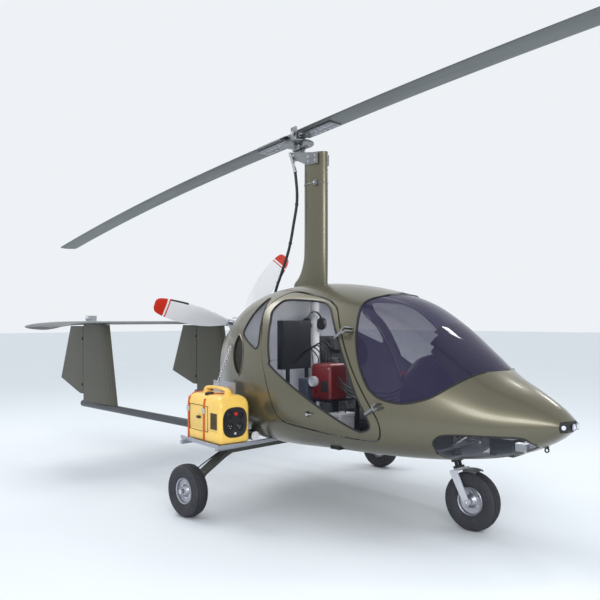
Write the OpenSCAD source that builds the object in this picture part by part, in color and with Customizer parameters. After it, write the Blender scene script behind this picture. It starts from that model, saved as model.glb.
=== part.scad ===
// Gyrocopter: two-seat enclosed cabin, pusher propeller, twin-boom tail,
// fixed tricycle gear and a two-blade teetering rotor on a faired mast.
// Millimetres. +X is the nose, +Y is port, +Z is up, the ground is z = 0
// and the origin is on the ground below the rotor hub.

/* [Fuselage] */
// Length of the cabin shell from its open aft edge to the nose tip
fuselage_length = 2650; // [2300:3100]
// Widest width of the cabin shell
cabin_width = 1416; // [1180:1700]
// Height of the roof above the ground
roof_height = 1553; // [1350:1800]
// Height of the lowest belly line above the ground
belly_height = 402; // [340:480]
// Nose tip position ahead of the rotor hub
nose_x = 2200; // [1900:2600]
// Thickness of the moulded shell and of the doors
shell_wall = 12; // [6:20]
// Thickness of the windows
glass_thickness = 4; // [3:6]

/* [Doors] */
// Gap between a door and its frame
door_gap = 9; // [6:12]
// Distance of the hinge line outside the skin at the hinges
hinge_standoff = 30; // [25:60]
// Distance of the hinge line ahead of the door's front edge
hinge_lead = 30; // [20:40]

/* [Mast] */
// Chord of the faired mast
mast_chord = 220; // [160:300]
// Thickness of the faired mast
mast_thickness = 110; // [80:150]
// Front edge of the mast ahead of the rotor hub
mast_front_x = 302; // [240:360]
// Top of the mast above the ground
mast_top = 2540; // [2300:2800]

/* [Rotor] */
// Diameter of the main rotor
rotor_diameter = 8780; // [7000:10600]
// Chord of a rotor blade
blade_chord = 200; // [160:240]
// Thickness of a rotor blade
blade_thickness = 26; // [18:34]
// Height of the teeter bolt above the ground
teeter_height = 2722; // [2500:3000]
// Droop of each blade tip under its own weight
blade_droop = 160; // [0:300]
// Aft tilt of the rotor disc at rest, degrees
disc_tilt = 4.8; // [0:10]
// Heading of the parked forward blade to starboard, degrees
parked_heading = 3.3; // [-20:20]
// Diameter of the pre-rotator ring gear
ring_gear_diameter = 230; // [180:300]

/* [Propeller] */
// Diameter of the propeller
propeller_diameter = 1630; // [1400:1750]
// Position of the propeller disc behind the rotor hub
propeller_x = -730; // [-800:-700]
// Height of the propeller axis above the ground
propeller_height = 1250; // [1150:1350]

/* [Tail] */
// Distance between the two tail booms
boom_spacing = 1240; // [1000:1480]
// Diameter of a tail boom
boom_diameter = 60; // [40:80]
// Span of the stabiliser
stabilizer_span = 2200; // [1830:2640]
// Height of the underside of the stabiliser
fin_top = 1250; // [1100:1400]
// Droop of the stabiliser tips
tip_droop = 42; // [0:80]

/* [Landing gear] */
// Distance between the main wheels
track_width = 2000; // [1700:2400]
// Outside diameter of a main tyre
main_tyre_diameter = 345; // [290:415]
// Width of a main tyre
main_tyre_width = 104; // [80:125]
// Outside diameter of the nose tyre
nose_tyre_diameter = 365; // [310:400]
// Width of the nose tyre
nose_tyre_width = 100; // [80:120]
// Nose axle ahead of the rotor hub
nose_axle_x = 1541; // [1450:1650]
// Rake of the steering axis from the vertical, degrees
steering_rake = 16; // [8:25]

/* [Generator rack] */
// Length of the portable generator
generator_length = 450; // [380:500]
// Width of the generator
generator_width = 225; // [190:240]
// Height of the generator with its handle
generator_height = 375; // [320:420]

/* [Hidden] */

$fn = 48;
eps = 0.5;              // seating gap between pieces that are bonded together
fit = 0.05;             // radial clearance of a running fit

// ---------------------------------------------------------------- colours
olive = [0.42, 0.41, 0.34];
dark = [0.15, 0.15, 0.16];
grey = [0.45, 0.47, 0.47];
silver = [0.72, 0.73, 0.75];
white = [0.92, 0.92, 0.92];
smoke = [0.45, 0.45, 0.60, 0.45];

// ---------------------------------------------------------------- helpers
function sgn(v) = v < 0 ? -1 : 1;
function unit(v) = v / norm(v);
// Smooth curve through knots [position, value]
function slope(k, i) = let(a = max(i - 1, 0), b = min(i + 1, len(k) - 1)) (k[b][1] - k[a][1]) / (k[b][0] - k[a][0]);
function span_of(k, x, i = 0) = (i >= len(k) - 2 || x < k[i + 1][0]) ? i : span_of(k, x, i + 1);
function at(k, x0) =
    let(x = min(max(x0, k[0][0]), k[len(k) - 1][0]), i = span_of(k, x), h = k[i + 1][0] - k[i][0],
        t = (x - k[i][0]) / h, t2 = t * t, t3 = t2 * t)
    (2 * t3 - 3 * t2 + 1) * k[i][1] + (t3 - 2 * t2 + t) * h * slope(k, i)
    + (3 * t2 - 2 * t3) * k[i + 1][1] + (t3 - t2) * h * slope(k, i + 1);

// Closed skin over a row of rings that all have the same number of points
module loft(rings) {
    n = len(rings);
    s = len(rings[0]);
    points = [for (r = rings) each r];
    sides = [for (k = [0:n - 2]) for (i = [0:s - 1])
        let(a = k * s + i, b = k * s + (i + 1) % s, c = a + s, d = b + s) each [[a, c, b], [b, c, d]]];
    polyhedron(points, concat([[for (i = [0:s - 1]) i]], sides, [[for (i = [s - 1:-1:0]) (n - 1) * s + i]]));
}
// Round tube along a path of points
module tube(path, radius, sides = 12) {
    n = len(path);
    loft([for (k = [0:n - 1])
        let(d = unit(path[min(k + 1, n - 1)] - path[max(k - 1, 0)]),
            u = unit(cross(d, abs(d[1]) > 0.8 ? [0, 0, 1] : [0, 1, 0])), w = cross(d, u))
        [for (i = [0:sides - 1]) path[k] + radius * (cos(360 * i / sides) * u + sin(360 * i / sides) * w)]]);
}
// Rod between two points
module rod(a, b, radius) {
    d = b - a;
    translate(a) rotate([0, acos(d[2] / norm(d)), atan2(d[1], d[0])]) cylinder(r = radius, h = norm(d));
}
module mirrored() {
    children();
    mirror([0, 1, 0]) children();
}
module box(low, high) { translate(low) cube(high - low); }

// ---------------------------------------------------------------- fuselage surface
tail_x = nose_x - fuselage_length;
body_height = roof_height - belly_height;
// Stations are fractions of the length from the aft edge; values are fractions of the body height
// above the belly line, or of the half width
TOP = [[0, .785], [.113, .935], [.226, .993], [.358, 1], [.49, .959], [.604, .888], [.698, .768],
       [.774, .638], [.849, .506], [.917, .421], [.966, .351], [1, .281]];
BOTTOM = [[0, .048], [.132, .005], [.283, 0], [.434, .014], [.585, .02], [.717, .033], [.83, .069],
          [.906, .118], [.962, .183], [1, .252]];
HALF_WIDTH = [[0, .571], [.113, .816], [.226, .952], [.34, 1], [.472, .975], [.604, .873], [.717, .71],
              [.811, .541], [.894, .369], [.955, .22], [.986, .131], [1, .075]];
MIDDLE = [[0, .415], [.17, .389], [.472, .346], [.66, .294], [.849, .259], [1, .267]];
top_roundness = [2.7, 1.7];      // superellipse exponent at the aft edge and at the nose
belly_roundness = [2.7, 2.3];
ring_points = 44;
STATIONS = concat([for (k = [0:30]) k * .03], [.92, .938, .955, .968, .98, .991, 1]);

function frac(x) = (x - tail_x) / fuselage_length;
function station_x(f) = tail_x + f * fuselage_length;
function half_width(f) = cabin_width / 2 * at(HALF_WIDTH, f);
function top_z(f) = belly_height + body_height * at(TOP, f);
function bottom_z(f) = belly_height + body_height * at(BOTTOM, f);
function middle_z(f) = belly_height + body_height * at(MIDDLE, f);
function mix(pair, f) = pair[0] + (pair[1] - pair[0]) * f;
// One ring of the skin, moved in by inset
function skin_ring(f, inset) =
    let(w = half_width(f) - inset, m = middle_z(f), up = top_z(f) - inset - m, down = m - bottom_z(f) - inset)
    [for (i = [0:ring_points - 1])
        let(a = 360 * i / ring_points, c = cos(a), s = sin(a), n = mix(s < 0 ? belly_roundness : top_roundness, f))
        [station_x(f), w * sgn(c) * pow(abs(c), 2 / n), m + (s < 0 ? down : up) * sgn(s) * pow(abs(s), 2 / n)]];
// Half width of the skin at a length x and a height z
function skin_y(x, z) =
    let(f = frac(x), m = middle_z(f), h = z < m ? m - bottom_z(f) : top_z(f) - m,
        n = mix(z < m ? belly_roundness : top_roundness, f), q = min(abs(z - m) / h, 0.999))
    half_width(f) * pow(1 - pow(q, n), 1 / n);
// Solid inside the skin; overrun carries the aft end past the shell's own aft edge
module body_solid(inset = 0, overrun = 0) {
    shrink = inset > 0 ? .004 + inset / fuselage_length : 0;
    tail = overrun > 0 ? [[for (p = skin_ring(0, inset)) [p[0] - overrun, p[1], p[2]]]] : [];
    loft(concat(tail, [for (f = STATIONS) skin_ring(min(f, 1 - shrink), inset) ]));
}

// ---------------------------------------------------------------- openings, side view outlines [x, z]
// Outlines follow the shell: x and z are moved with the length and height of the body
function onto(p) = [station_x((p[0] + 450) / 2650), belly_height + (p[1] - 402) / 1151 * body_height];
function place(outline) = [for (p = outline) onto(p)];
DOOR = place([[339, 1492], [262, 1458], [222, 1400], [218, 1340], [298, 1217], [375, 1018], [457, 816],
              [505, 700], [540, 655], [600, 632], [763, 612], [1031, 582], [1205, 576], [1252, 600],
              [1272, 650], [1266, 706], [1235, 768], [1109, 969], [957, 1208], [845, 1351],
              [770, 1404], [683, 1438], [503, 1474]]);
DOOR_WINDOW = place([[312, 1345], [322, 1402], [370, 1431], [567, 1424], [696, 1408], [773, 1372], [836, 1310],
                     [941, 1178], [1051, 1005], [1137, 837], [1198, 720], [1206, 664], [1165, 638],
                     [1109, 644], [904, 752], [485, 982], [441, 1040], [356, 1268]]);
QUARTER_WINDOW = place([[150, 1448], [118, 1400], [80, 1260], [74, 1205], [110, 1175], [204, 1131],
                        [270, 1104], [297, 1110], [303, 1150], [262, 1270], [195, 1390]]);
AIR_INLET = place([[12, 1188], [-18, 1130], [-22, 1060], [10, 985], [60, 930], [99, 915],
                   [132, 960], [140, 1050], [110, 1130], [50, 1178]]);
WINDSHIELD = place([[1045, 1750], [1045, 1470], [1000, 1456], [966, 1434], [953, 1405], [966, 1368],
                    [1019, 1263], [1057, 1173], [1121, 1027], [1184, 913], [1225, 868], [1272, 838],
                    [1356, 816], [1436, 820], [1535, 852], [1617, 912], [1685, 966], [1725, 990],
                    [1790, 998], [2300, 1000], [2300, 1750]]);
CHIN = place([[1520, 300], [1528, 520], [1542, 585], [1564, 620], [1603, 641], [1693, 648], [1884, 646],
              [1960, 645], [2000, 634], [2030, 600], [2040, 300]]);
LAMP = place([[2150, 682], [2162, 676], [2300, 676], [2300, 738], [2162, 738], [2150, 732]]);

// Straight cutter across the body for a side view outline, from one half width to another
module side_cutter(outline, grow, from, to)
    rotate([90, 0, 0]) translate([0, 0, -to]) linear_extrude(to - from)
        offset(delta = grow) polygon(outline);
cut_reach = cabin_width;        // far enough to pass the skin on one side

module both_sides(outline, grow, from = 90)
    for (side = [-1, 1]) side_cutter(outline, grow, side < 0 ? -cut_reach : from, side < 0 ? -from : cut_reach);

// Layer of the body between two insets
module layer(outer, inner) {
    difference() {
        body_solid(outer);
        body_solid(inner, 40);
    }
}
// resize() to the body's own length keeps the shape and builds it as one mesh
module meshed() resize([0, 0, 0]) children();

spine = 90;                      // half width of the solid strip between the chin windows
beam_x = [-250, 92];             // cross beams that carry the booms
boom_z = 507;
beam_radius = 24;

module fuselage_shell() color(olive) meshed() difference() {
    layer(0, shell_wall);
    both_sides(DOOR, 0, 200);
    both_sides(QUARTER_WINDOW, 0, 200);
    both_sides(AIR_INLET, 0, 200);
    side_cutter(WINDSHIELD, 0, -cut_reach, cut_reach);
    both_sides(CHIN, 0, spine);
    side_cutter(LAMP, 0, -cut_reach, cut_reach);
    // seat of the mast in the roof
    translate([0, 0, belly_height + body_height / 2]) linear_extrude(body_height) mast_section(mast_base_chord, eps);
    // holes for the boom beams
    for (x = beam_x) translate([x, 0, boom_z]) rotate([90, 0, 0]) cylinder(r = beam_radius + eps, h = 2 * cut_reach, center = true);
    // hole for the nose strut
    nose_strut_frame() translate([0, 0, 40]) cylinder(r = strut_collar + eps, h = 200);
    // hole for the drive hose behind the mast
    translate([hose_end_x, hose_y, roof_height - 250]) cylinder(r = hose_r + eps, h = 300);
}

glass_inset = 3;
module glass(outline, from) color(smoke) meshed() intersection() {
    layer(glass_inset, glass_inset + glass_thickness);
    if (from > 0) both_sides(outline, -eps, from);
    else side_cutter(outline, -eps, -cut_reach, cut_reach);
}
module windshield() glass(WINDSHIELD, 0);
module fixed_windows() {
    glass(QUARTER_WINDOW, 200);
    glass(CHIN, spine + eps);
}
module nose_lamp() color(dark) meshed() intersection() {
    layer(2, 60);
    side_cutter(LAMP, -eps, -cut_reach, cut_reach);
}

// ---------------------------------------------------------------- doors
// The hinge line runs outside the skin, ahead of the slanted front edge of the door
hinge_top = onto([957, 1208]);
hinge_low = onto([1235, 768]);
edge_run = unit([hinge_low[0] - hinge_top[0], hinge_low[1] - hinge_top[1]]);
function hinge_point(p) = [p[0] - hinge_lead * edge_run[1], -skin_y(p[0], p[1]) - hinge_standoff, p[1] + hinge_lead * edge_run[0]];
hinge_a = hinge_point(hinge_top);
hinge_b = hinge_point(hinge_low);
hinge_up = unit(hinge_a - hinge_b);
hinge_out = unit([0, -1, 0] - hinge_up * (hinge_up * [0, -1, 0]));
hinge_aft = cross(hinge_out, hinge_up);
// Frame of one starboard hinge: x towards the door, y outwards, z up the hinge line
module hinge_frame(p) multmatrix([for (i = [0:2]) [hinge_aft[i], hinge_out[i], hinge_up[i], p[i]]]) children();
knuckle_r = 8;
hinge_pin_r = 4;
lug = [9, 17];                   // fixed lugs, from and to along the hinge line
leaf = 7.5;                      // half height of the door's knuckle
// Distance of a point in the hinge frame from the skin, and the depth at which the skin is met
function outside(p, x, y, z) = let(w = p + hinge_aft * x + hinge_out * y + hinge_up * z) -w[1] - skin_y(w[0], w[2]);
function meet(p, x, z, low = -150, high = 0, n = 0) =
    let(m = (low + high) / 2)
    n > 16 ? high : outside(p, x, m, z) > eps ? meet(p, x, z, low, m, n + 1) : meet(p, x, z, m, high, n + 1);
// Arm from a knuckle to its foot on the skin
module hinge_arm(p, x, foot, low, high) {
    depth = [for (f = foot) max(meet(p, f, low), meet(p, f, high))];
    translate([0, 0, low]) linear_extrude(high - low) difference() {
        polygon([[0, 6], [x, 6], [foot[1], depth[1]], [foot[0], depth[0]], [foot[0], -6], [0, -6]]);
        circle(r = knuckle_r - 2);
    }
}
module fixed_hinge(p) hinge_frame(p) {
    for (z = [-lug[1], lug[0]]) {
        translate([0, 0, z]) cylinder(r = knuckle_r, h = lug[1] - lug[0]);
        hinge_arm(p, -foot_x[1], [-foot_x[0], -foot_x[1]], z, z + lug[1] - lug[0]);
    }
    translate([0, 0, -lug[1] - 2]) cylinder(r = hinge_pin_r, h = 2 * lug[1] + 4);
}
foot_x = [14, 34];
door_foot = hinge_lead + door_gap;
module door_hinge(p) hinge_frame(p) {
    difference() {
        translate([0, 0, -leaf]) cylinder(r = knuckle_r, h = 2 * leaf);
        translate([0, 0, -leaf - 1]) cylinder(r = hinge_pin_r + fit, h = 2 * leaf + 2);
    }
    hinge_arm(p, door_foot + foot_x[1], [door_foot + foot_x[0], door_foot + foot_x[1]], -leaf, leaf);
}
module fixed_hinges() for (p = [hinge_a, hinge_b]) fixed_hinge(p);
module door_hinges() for (p = [hinge_a, hinge_b]) door_hinge(p);
module hinge_brackets() color(silver) mirrored() fixed_hinges();
module door_right_hinges() color(silver) door_hinges();
module door_left_hinges() color(silver) mirror([0, 1, 0]) door_hinges();

// Ring under the nose for a tow line
tow_x = nose_x - 171;
tow_drop = 18;
tow_z = bottom_z(frac(tow_x)) - tow_drop;
module tow_eye() color(silver) {
    difference() {
        translate([tow_x, 3, tow_z]) rotate([90, 0, 0]) cylinder(r = 15, h = 6);
        translate([tow_x, 10, tow_z]) rotate([90, 0, 0]) cylinder(r = 8, h = 20);
    }
    meshed() difference() {
        box([tow_x - 12, -3, tow_z + 11], [tow_x + 12, 3, tow_z + 60]);
        body_solid(-eps);
    }
}

module door(side) meshed() intersection() {
    difference() {
        layer(0, shell_wall);
        both_sides(DOOR_WINDOW, 0, 200);
    }
    both_sides(DOOR, -door_gap, 200);
    box([-5000, side < 0 ? -5000 : 0, 0], [5000, side < 0 ? 0 : 5000, 5000]);
}
module door_glass(side) color(smoke) meshed() intersection() {
    layer(glass_inset, glass_inset + glass_thickness);
    both_sides(DOOR_WINDOW, -eps, 200);
    box([-5000, side < 0 ? -5000 : 0, 0], [5000, side < 0 ? 0 : 5000, 5000]);
}
module door_right() color(olive) door(-1);
module door_right_window() door_glass(-1);
module door_left() color(olive) door(1);
module door_left_window() door_glass(1);

// ---------------------------------------------------------------- cabin
floor_z = belly_height + 66;
firewall_x = 20;
module cabin_inside() body_solid(shell_wall + eps);
module cabin_floor() color(dark) meshed() intersection() {
    cabin_inside();
    box([firewall_x + 16, -1000, floor_z], [1370, 1000, floor_z + 8]);
}
module firewall() color(silver) meshed() intersection() {
    cabin_inside();
    box([firewall_x, -1000, 0], [firewall_x + 12, 1000, roof_height - 70]);
}

seat_y = 270;
seat_width = 400;
floor_top = floor_z + 8 + eps;
// Front face of the seat back at a height above the floor
function back_face(h) = 330 - 190 * (h - 66) / 634;
module slanted(low, high, half, from, to)
    loft([for (h = [low, high]) [[back_face(h) + to, -half, floor_z + h], [back_face(h) + to, half, floor_z + h],
                                 [back_face(h) + from, half, floor_z + h], [back_face(h) + from, -half, floor_z + h]]]);
module seat_frame() color(dark) translate([0, seat_y, 0]) {
    // plinth, pan and back of the port seat
    box([350, -140, floor_top], [740, 140, floor_z + 62]);
    box([300, -seat_width / 2, floor_z + 61], [760, seat_width / 2, floor_z + 84]);
    slanted(70, 700, seat_width / 2 - 10, -26, 0);
}
module seat_cushions() color([0.1, 0.1, 0.11]) translate([0, seat_y, 0]) {
    box([back_face(84) + 62, -seat_width / 2 + 12, floor_z + 84 + eps], [752, seat_width / 2 - 12, floor_z + 160]);
    slanted(86, 560, seat_width / 2 - 20, eps, 58);
    slanted(590, 700, 120, eps, 62);
}
module instrument_panel() color(dark) {
    loft([for (y = [-330, -280, -150, 0, 150, 280, 330])
        let(h = at([[0, 1], [150, .93], [280, .62], [330, .3]], abs(y)), z0 = floor_z + 190)
        [[1230, y, z0], [1230, y, z0 + 118 + 290 * h], [1300, y, z0 + 128 + 300 * h],
         [1420, y, z0 + 118 + 230 * h], [1480, y, z0 + 20], [1470, y, z0]]]);
    // pedestal down to the floor
    box([1235, -100, floor_top], [1340, 100, floor_z + 191]);
}
module cockpit_controls() color(dark) translate([0, seat_y, 0]) {
    translate([850, 0, floor_top]) cylinder(r = 35, h = 20);
    rod([850, 0, floor_z + 26], [815, 0, floor_z + 330], 11);
    rod([817, 0, floor_z + 322], [806, 0, floor_z + 430], 18);
    // rudder pedals
    for (y = [-130, 10]) {
        box([1150, y - 6, floor_top], [1180, y + 6, floor_z + 120]);
        box([1150, y - 34, floor_z + 112], [1176, y + 34, floor_z + 220]);
    }
}
// The starboard place carries a rack with a flat panel and a sensor unit
rack_y = -380;
panel_half = 138;
module equipment_rack() color(dark) translate([0, rack_y, 0]) {
    for (x = [330, 740], y = [-10, 200]) box([x, y, floor_top], [x + 20, y + 20, floor_z + 300]);
    box([320, -110, floor_z + 299], [790, 222, floor_z + 311]);
    for (y = [-60, 120]) box([330, y, floor_z + 310], [350, y + 20, floor_z + 490]);
    box([330, -panel_half, floor_z + 489], [375, panel_half, floor_z + 822]);
}
module sensor_unit() color([0.45, 0.05, 0.05]) translate([0, rack_y, 0]) {
    box([600, -90, floor_z + 311.5], [780, 80, floor_z + 540]);
    translate([640, -89, floor_z + 425]) rotate([90, 0, 0]) cylinder(r = 34, h = 30);
}

// ---------------------------------------------------------------- engine and propeller
engine_front = -120;
engine_rear = -560;
engine_z = propeller_height - 130;
shaft_r = 18;
prop_front = 45;                 // front face of the propeller hub ahead of the disc
prop_rear = -45;
module engine() color([0.3, 0.31, 0.32]) {
    box([engine_rear, -140, engine_z - 150], [engine_front, 140, engine_z + 110]);
    for (x = [engine_rear + 120, engine_front - 120], side = [-1, 1])
        translate([x, side * 135, engine_z]) rotate([-90 * side, 0, 0]) cylinder(r = 72, h = 140);
    // reduction gearbox and propeller shaft
    translate([engine_rear - 60, 0, propeller_height - 60]) rotate([0, 90, 0]) cylinder(r = 105, h = 62);
    translate([propeller_x + prop_front + 6, 0, propeller_height]) rotate([0, 90, 0])
        cylinder(r = 46, h = engine_rear - 59 - propeller_x - prop_front - 6);
    translate([propeller_x + prop_rear + 12, 0, propeller_height]) rotate([0, 90, 0])
        cylinder(r = shaft_r, h = engine_rear - 59 - propeller_x - prop_rear - 12);
    // mount struts to the firewall
    for (y = [-110, 110], z = [engine_z - 110, engine_z + 70])
        translate([engine_front - 1, y, z]) rotate([0, 90, 0]) cylinder(r = 12, h = firewall_x - eps - engine_front + 1);
}
blade_root = .15;                // start of a propeller blade as a fraction of the radius
blade_angles = [168, 48, -72];
module propeller_hub() color(silver) translate([propeller_x, 0, propeller_height]) {
    difference() {
        union() {
            translate([prop_rear, 0, 0]) rotate([0, 90, 0]) cylinder(r = 66, h = prop_front - prop_rear);
            translate([prop_rear + 1, 0, 0]) rotate([0, -90, 0]) cylinder(r1 = 66, r2 = 34, h = 26);
            for (a = blade_angles) rotate([a - 90, 0, 0]) translate([0, 0, 50])
                cylinder(r = 27, h = blade_root * propeller_diameter / 2 - eps - 50);
        }
        translate([prop_rear + 5, 0, 0]) rotate([0, 90, 0]) cylinder(r = shaft_r + fit, h = 200);
    }
}
// Blade along +Z: thickness lies near X, the chord turns from pitch at the root to the tip
BLADE_CHORD = [[.16, 60], [.24, 100], [.4, 150], [.6, 168], [.8, 156], [.93, 128], [.985, 96], [1, 70]];
module propeller_blade() {
    radius = propeller_diameter / 2;
    loft([for (k = [0:10])
        let(f = [blade_root, .19, .24, .32, .42, .54, .66, .78, .88, .955, 1][k], chord = at(BLADE_CHORD, f),
            thick = chord * (.34 - .25 * min(1, f * 1.3)), twist = 38 - 24 * f)
        [for (i = [0:15]) let(a = -360 * i / 16, u = chord / 2 * cos(a) - chord * .08, t = thick / 2 * sin(a) * (1 + .45 * cos(a)))
            [t * cos(twist) + u * sin(twist), t * -sin(twist) + u * cos(twist), radius * f]]]);
}
module propeller_blades() color(white) translate([propeller_x, 0, propeller_height])
    for (a = blade_angles) rotate([a - 90, 0, 0]) propeller_blade();

// ---------------------------------------------------------------- mast and rotor head
mast_base_chord = mast_chord + 120;
mast_back_x = mast_front_x - mast_chord;
// Streamlined outline with its front edge at mast_front_x
function mast_outline(chord, grow) =
    [for (i = [0:27]) let(a = 360 * i / 28)
        [mast_front_x - chord / 2 + (chord / 2 + grow) * cos(a), (mast_thickness / 2 + grow) * sin(a) * (1 - .12 * cos(a)) ]];
module mast_section(chord, grow) polygon(mast_outline(chord, grow));
mast_mid_x = mast_front_x - mast_chord / 2;
module mast() color(olive) {
    loft([for (p = [[roof_height - 60, mast_base_chord], [roof_height + 14, mast_base_chord], [roof_height + 60, mast_chord + 70],
                    [roof_height + 130, mast_chord + 30], [roof_height + 230, mast_chord + 6], [mast_top - 10, mast_chord],
                    [mast_top, mast_chord - 16]])
        [for (q = mast_outline(p[1], 0)) [q[0], q[1], p[0]]]]);
    // structural tube down to the floor
    translate([mast_mid_x - 20, 0, floor_z + 8 + eps]) cylinder(r = 36, h = roof_height - 40 - floor_z - 8);
}

// Frame of the rotor head: origin on the teeter bolt, z along the spindle
teeter = [-10, 0, teeter_height];
module head_frame() translate(teeter) rotate([0, -disc_tilt, 0]) children();
module rotor_frame() head_frame() rotate([0, 0, -parked_heading]) children();
pitch_drop = 178;                // pitch bolt below the teeter bolt
roll_drop = 142;                 // roll bolt below the teeter bolt
pin_r = 8;
roll_pin_r = 6;

// Cheek plates reach back from the mast top and hold the pitch bolt
pitch_centre = teeter + [pitch_drop * sin(disc_tilt), 0, -pitch_drop * cos(disc_tilt)];
plate_y = mast_thickness / 2 + .4;
plate_thick = 8;
module rotor_head_plates() color(silver) difference() {
    for (side = [-1, 1]) translate([0, side > 0 ? plate_y : -plate_y - plate_thick, 0]) rotate([90, 0, 0]) mirror([0, 0, 1])
        linear_extrude(plate_thick) hull() {
            translate([pitch_centre[0], pitch_centre[2]]) circle(r = 24);
            translate([mast_front_x - 150, mast_top - 90]) square([110, 80]);
        }
    translate(pitch_centre) rotate([90, 0, 0]) cylinder(r = pin_r + fit, h = 300, center = true);
}
// Gimbal block: pitches on the bolt through the cheek plates
gimbal_half = plate_y - 6;
arm_x = [48, 60];                // fork arms ahead of and behind the bearing block
module rotor_gimbal() color(silver) {
    translate(pitch_centre) rotate([90, 0, 0]) cylinder(r = pin_r, h = 2 * (plate_y + plate_thick) - 2, center = true);
    head_frame() difference() {
        union() {
            box([-26, -gimbal_half, -pitch_drop - 20], [26, gimbal_half, -pitch_drop + 20]);
            for (x = [-arm_x[1], arm_x[0]]) box([x, -14, -pitch_drop - 20], [x + arm_x[1] - arm_x[0], 14, -roll_drop + 12]);
            box([-arm_x[1], -14, -pitch_drop - 20], [arm_x[1], 14, -pitch_drop]);
        }
        translate([0, 0, -roll_drop]) rotate([0, 90, 0]) cylinder(r = roll_pin_r + fit, h = 300, center = true);
    }
}
// Bearing block: rolls on the fore and aft bolt and carries the spindle
spindle_r = 14;
module bearing_block() color(silver) head_frame() {
    translate([0, 0, -roll_drop]) rotate([0, 90, 0]) cylinder(r = roll_pin_r, h = 2 * arm_x[1] + 12, center = true);
    box([-40, -30, -130], [40, 30, -112]);
    box([-40, -12, -150], [40, 12, -129]);
    translate([0, 0, -113]) cylinder(r = 34, h = 22);
    translate([0, 0, -92]) cylinder(r = spindle_r, h = 34);
    // torque arm ahead
    box([38, -24, -124], [118, 24, -113]);
}
// Tower: turns on the spindle with the ring gear and holds the teeter bolt between two cheeks
cheek_y = 29;
cheek_thick = 14;
undersling = 22;                 // blades below the teeter bolt
module rotor_tower() color(silver) rotor_frame() difference() {
    union() {
        translate([0, 0, -84]) cylinder(r = 40, h = 32);
        translate([0, 0, -84]) cylinder(r = ring_gear_diameter / 2, h = 12);
        for (side = [-1, 1]) translate([0, side * (cheek_y + cheek_thick / 2), 0])
            box([-30, -cheek_thick / 2, -62], [30, cheek_thick / 2, 50]);
        box([-30, -cheek_y - cheek_thick, -64], [30, cheek_y + cheek_thick, -52]);
    }
    translate([0, 0, -90]) cylinder(r = spindle_r + fit, h = 34);
    rotate([90, 0, 0]) cylinder(r = pin_r + fit, h = 300, center = true);
}
// Hub bar: teeters on the bolt; a strap above and one below clamp each blade root
strap_x = [74, 430];
strap_gap = 14.3;
strap_thick = 6;
module hub_bar() color(silver) rotor_frame() {
    rotate([90, 0, 0]) cylinder(r = pin_r, h = 2 * (cheek_y + cheek_thick) + 14, center = true);
    box([-root_start + eps, -cheek_y + 2, -undersling - strap_gap - 1], [root_start - eps, cheek_y - 2, 13]);
    for (z = [-undersling - strap_gap - strap_thick, -undersling + strap_gap]) {
        box([-strap_x[1], -cheek_y + 2, z], [strap_x[1], cheek_y - 2, z + strap_thick]);
        for (side = [-1, 1]) translate([side > 0 ? strap_x[0] : -strap_x[1], -62, z]) cube([strap_x[1] - strap_x[0], 112, strap_thick]);
    }
}
// Blade along +X with its leading edge at +Y for the forward blade
root_start = 112;
function blade_drop(r) = blade_droop * pow(max(r - 440, 0) / (rotor_diameter / 2 - 440), 2);
BLADE_STATIONS = [0, .04, .078, .16, .26, .36, .46, .56, .66, .76, .86, .94, 1];
module rotor_blade() {
    span = rotor_diameter / 2 - root_start;
    loft([for (f = BLADE_STATIONS)
        let(r = root_start + span * f)
        [for (i = [0:15]) let(a = 360 * i / 16, c = cos(a))
            [r, blade_chord * (.5 * c - .05), blade_thickness / 2 * sin(a) * (1 + .25 * c) - blade_drop(r) - undersling]]]);
}
module rotor_blades() color(grey) rotor_frame() {
    rotor_blade();
    rotate([0, 0, 180]) rotor_blade();
}

// Drive hose of the pre-rotator, clipped to the starboard cheek plate and led down into the roof
hose_r = 11;
hose_y = -plate_y - plate_thick - hose_r - .4;
hose_end_x = -188;
HOSE = [[2565, -17], [2490, 14], [2400, 42], [2200, 60], [2025, 24], [1830, -30], [1640, -120], [1550, -166],
        [1490, hose_end_x], [1400, hose_end_x]];
module prerotator_hose() color(dark) tube([for (p = HOSE) [p[1], hose_y, p[0]]], hose_r);

// ---------------------------------------------------------------- tail
boom_y = boom_spacing / 2;
boom_r = boom_diameter / 2;
boom_front = 215;
boom_rear = -2200;
function boom_height(x) = boom_z + 22 * max(0, (-300 - x)) / 1900;
module boom(grow = 0) rod([boom_rear - grow * 30, boom_y, boom_height(boom_rear)], [boom_front + grow * 30, boom_y, boom_z], boom_r + grow);
module tail_booms() color([0.25, 0.27, 0.3]) {
    mirrored() boom();
    for (x = beam_x) translate([x, 0, boom_z]) rotate([90, 0, 0]) cylinder(r = beam_radius, h = 2 * boom_y, center = true);
}
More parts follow.
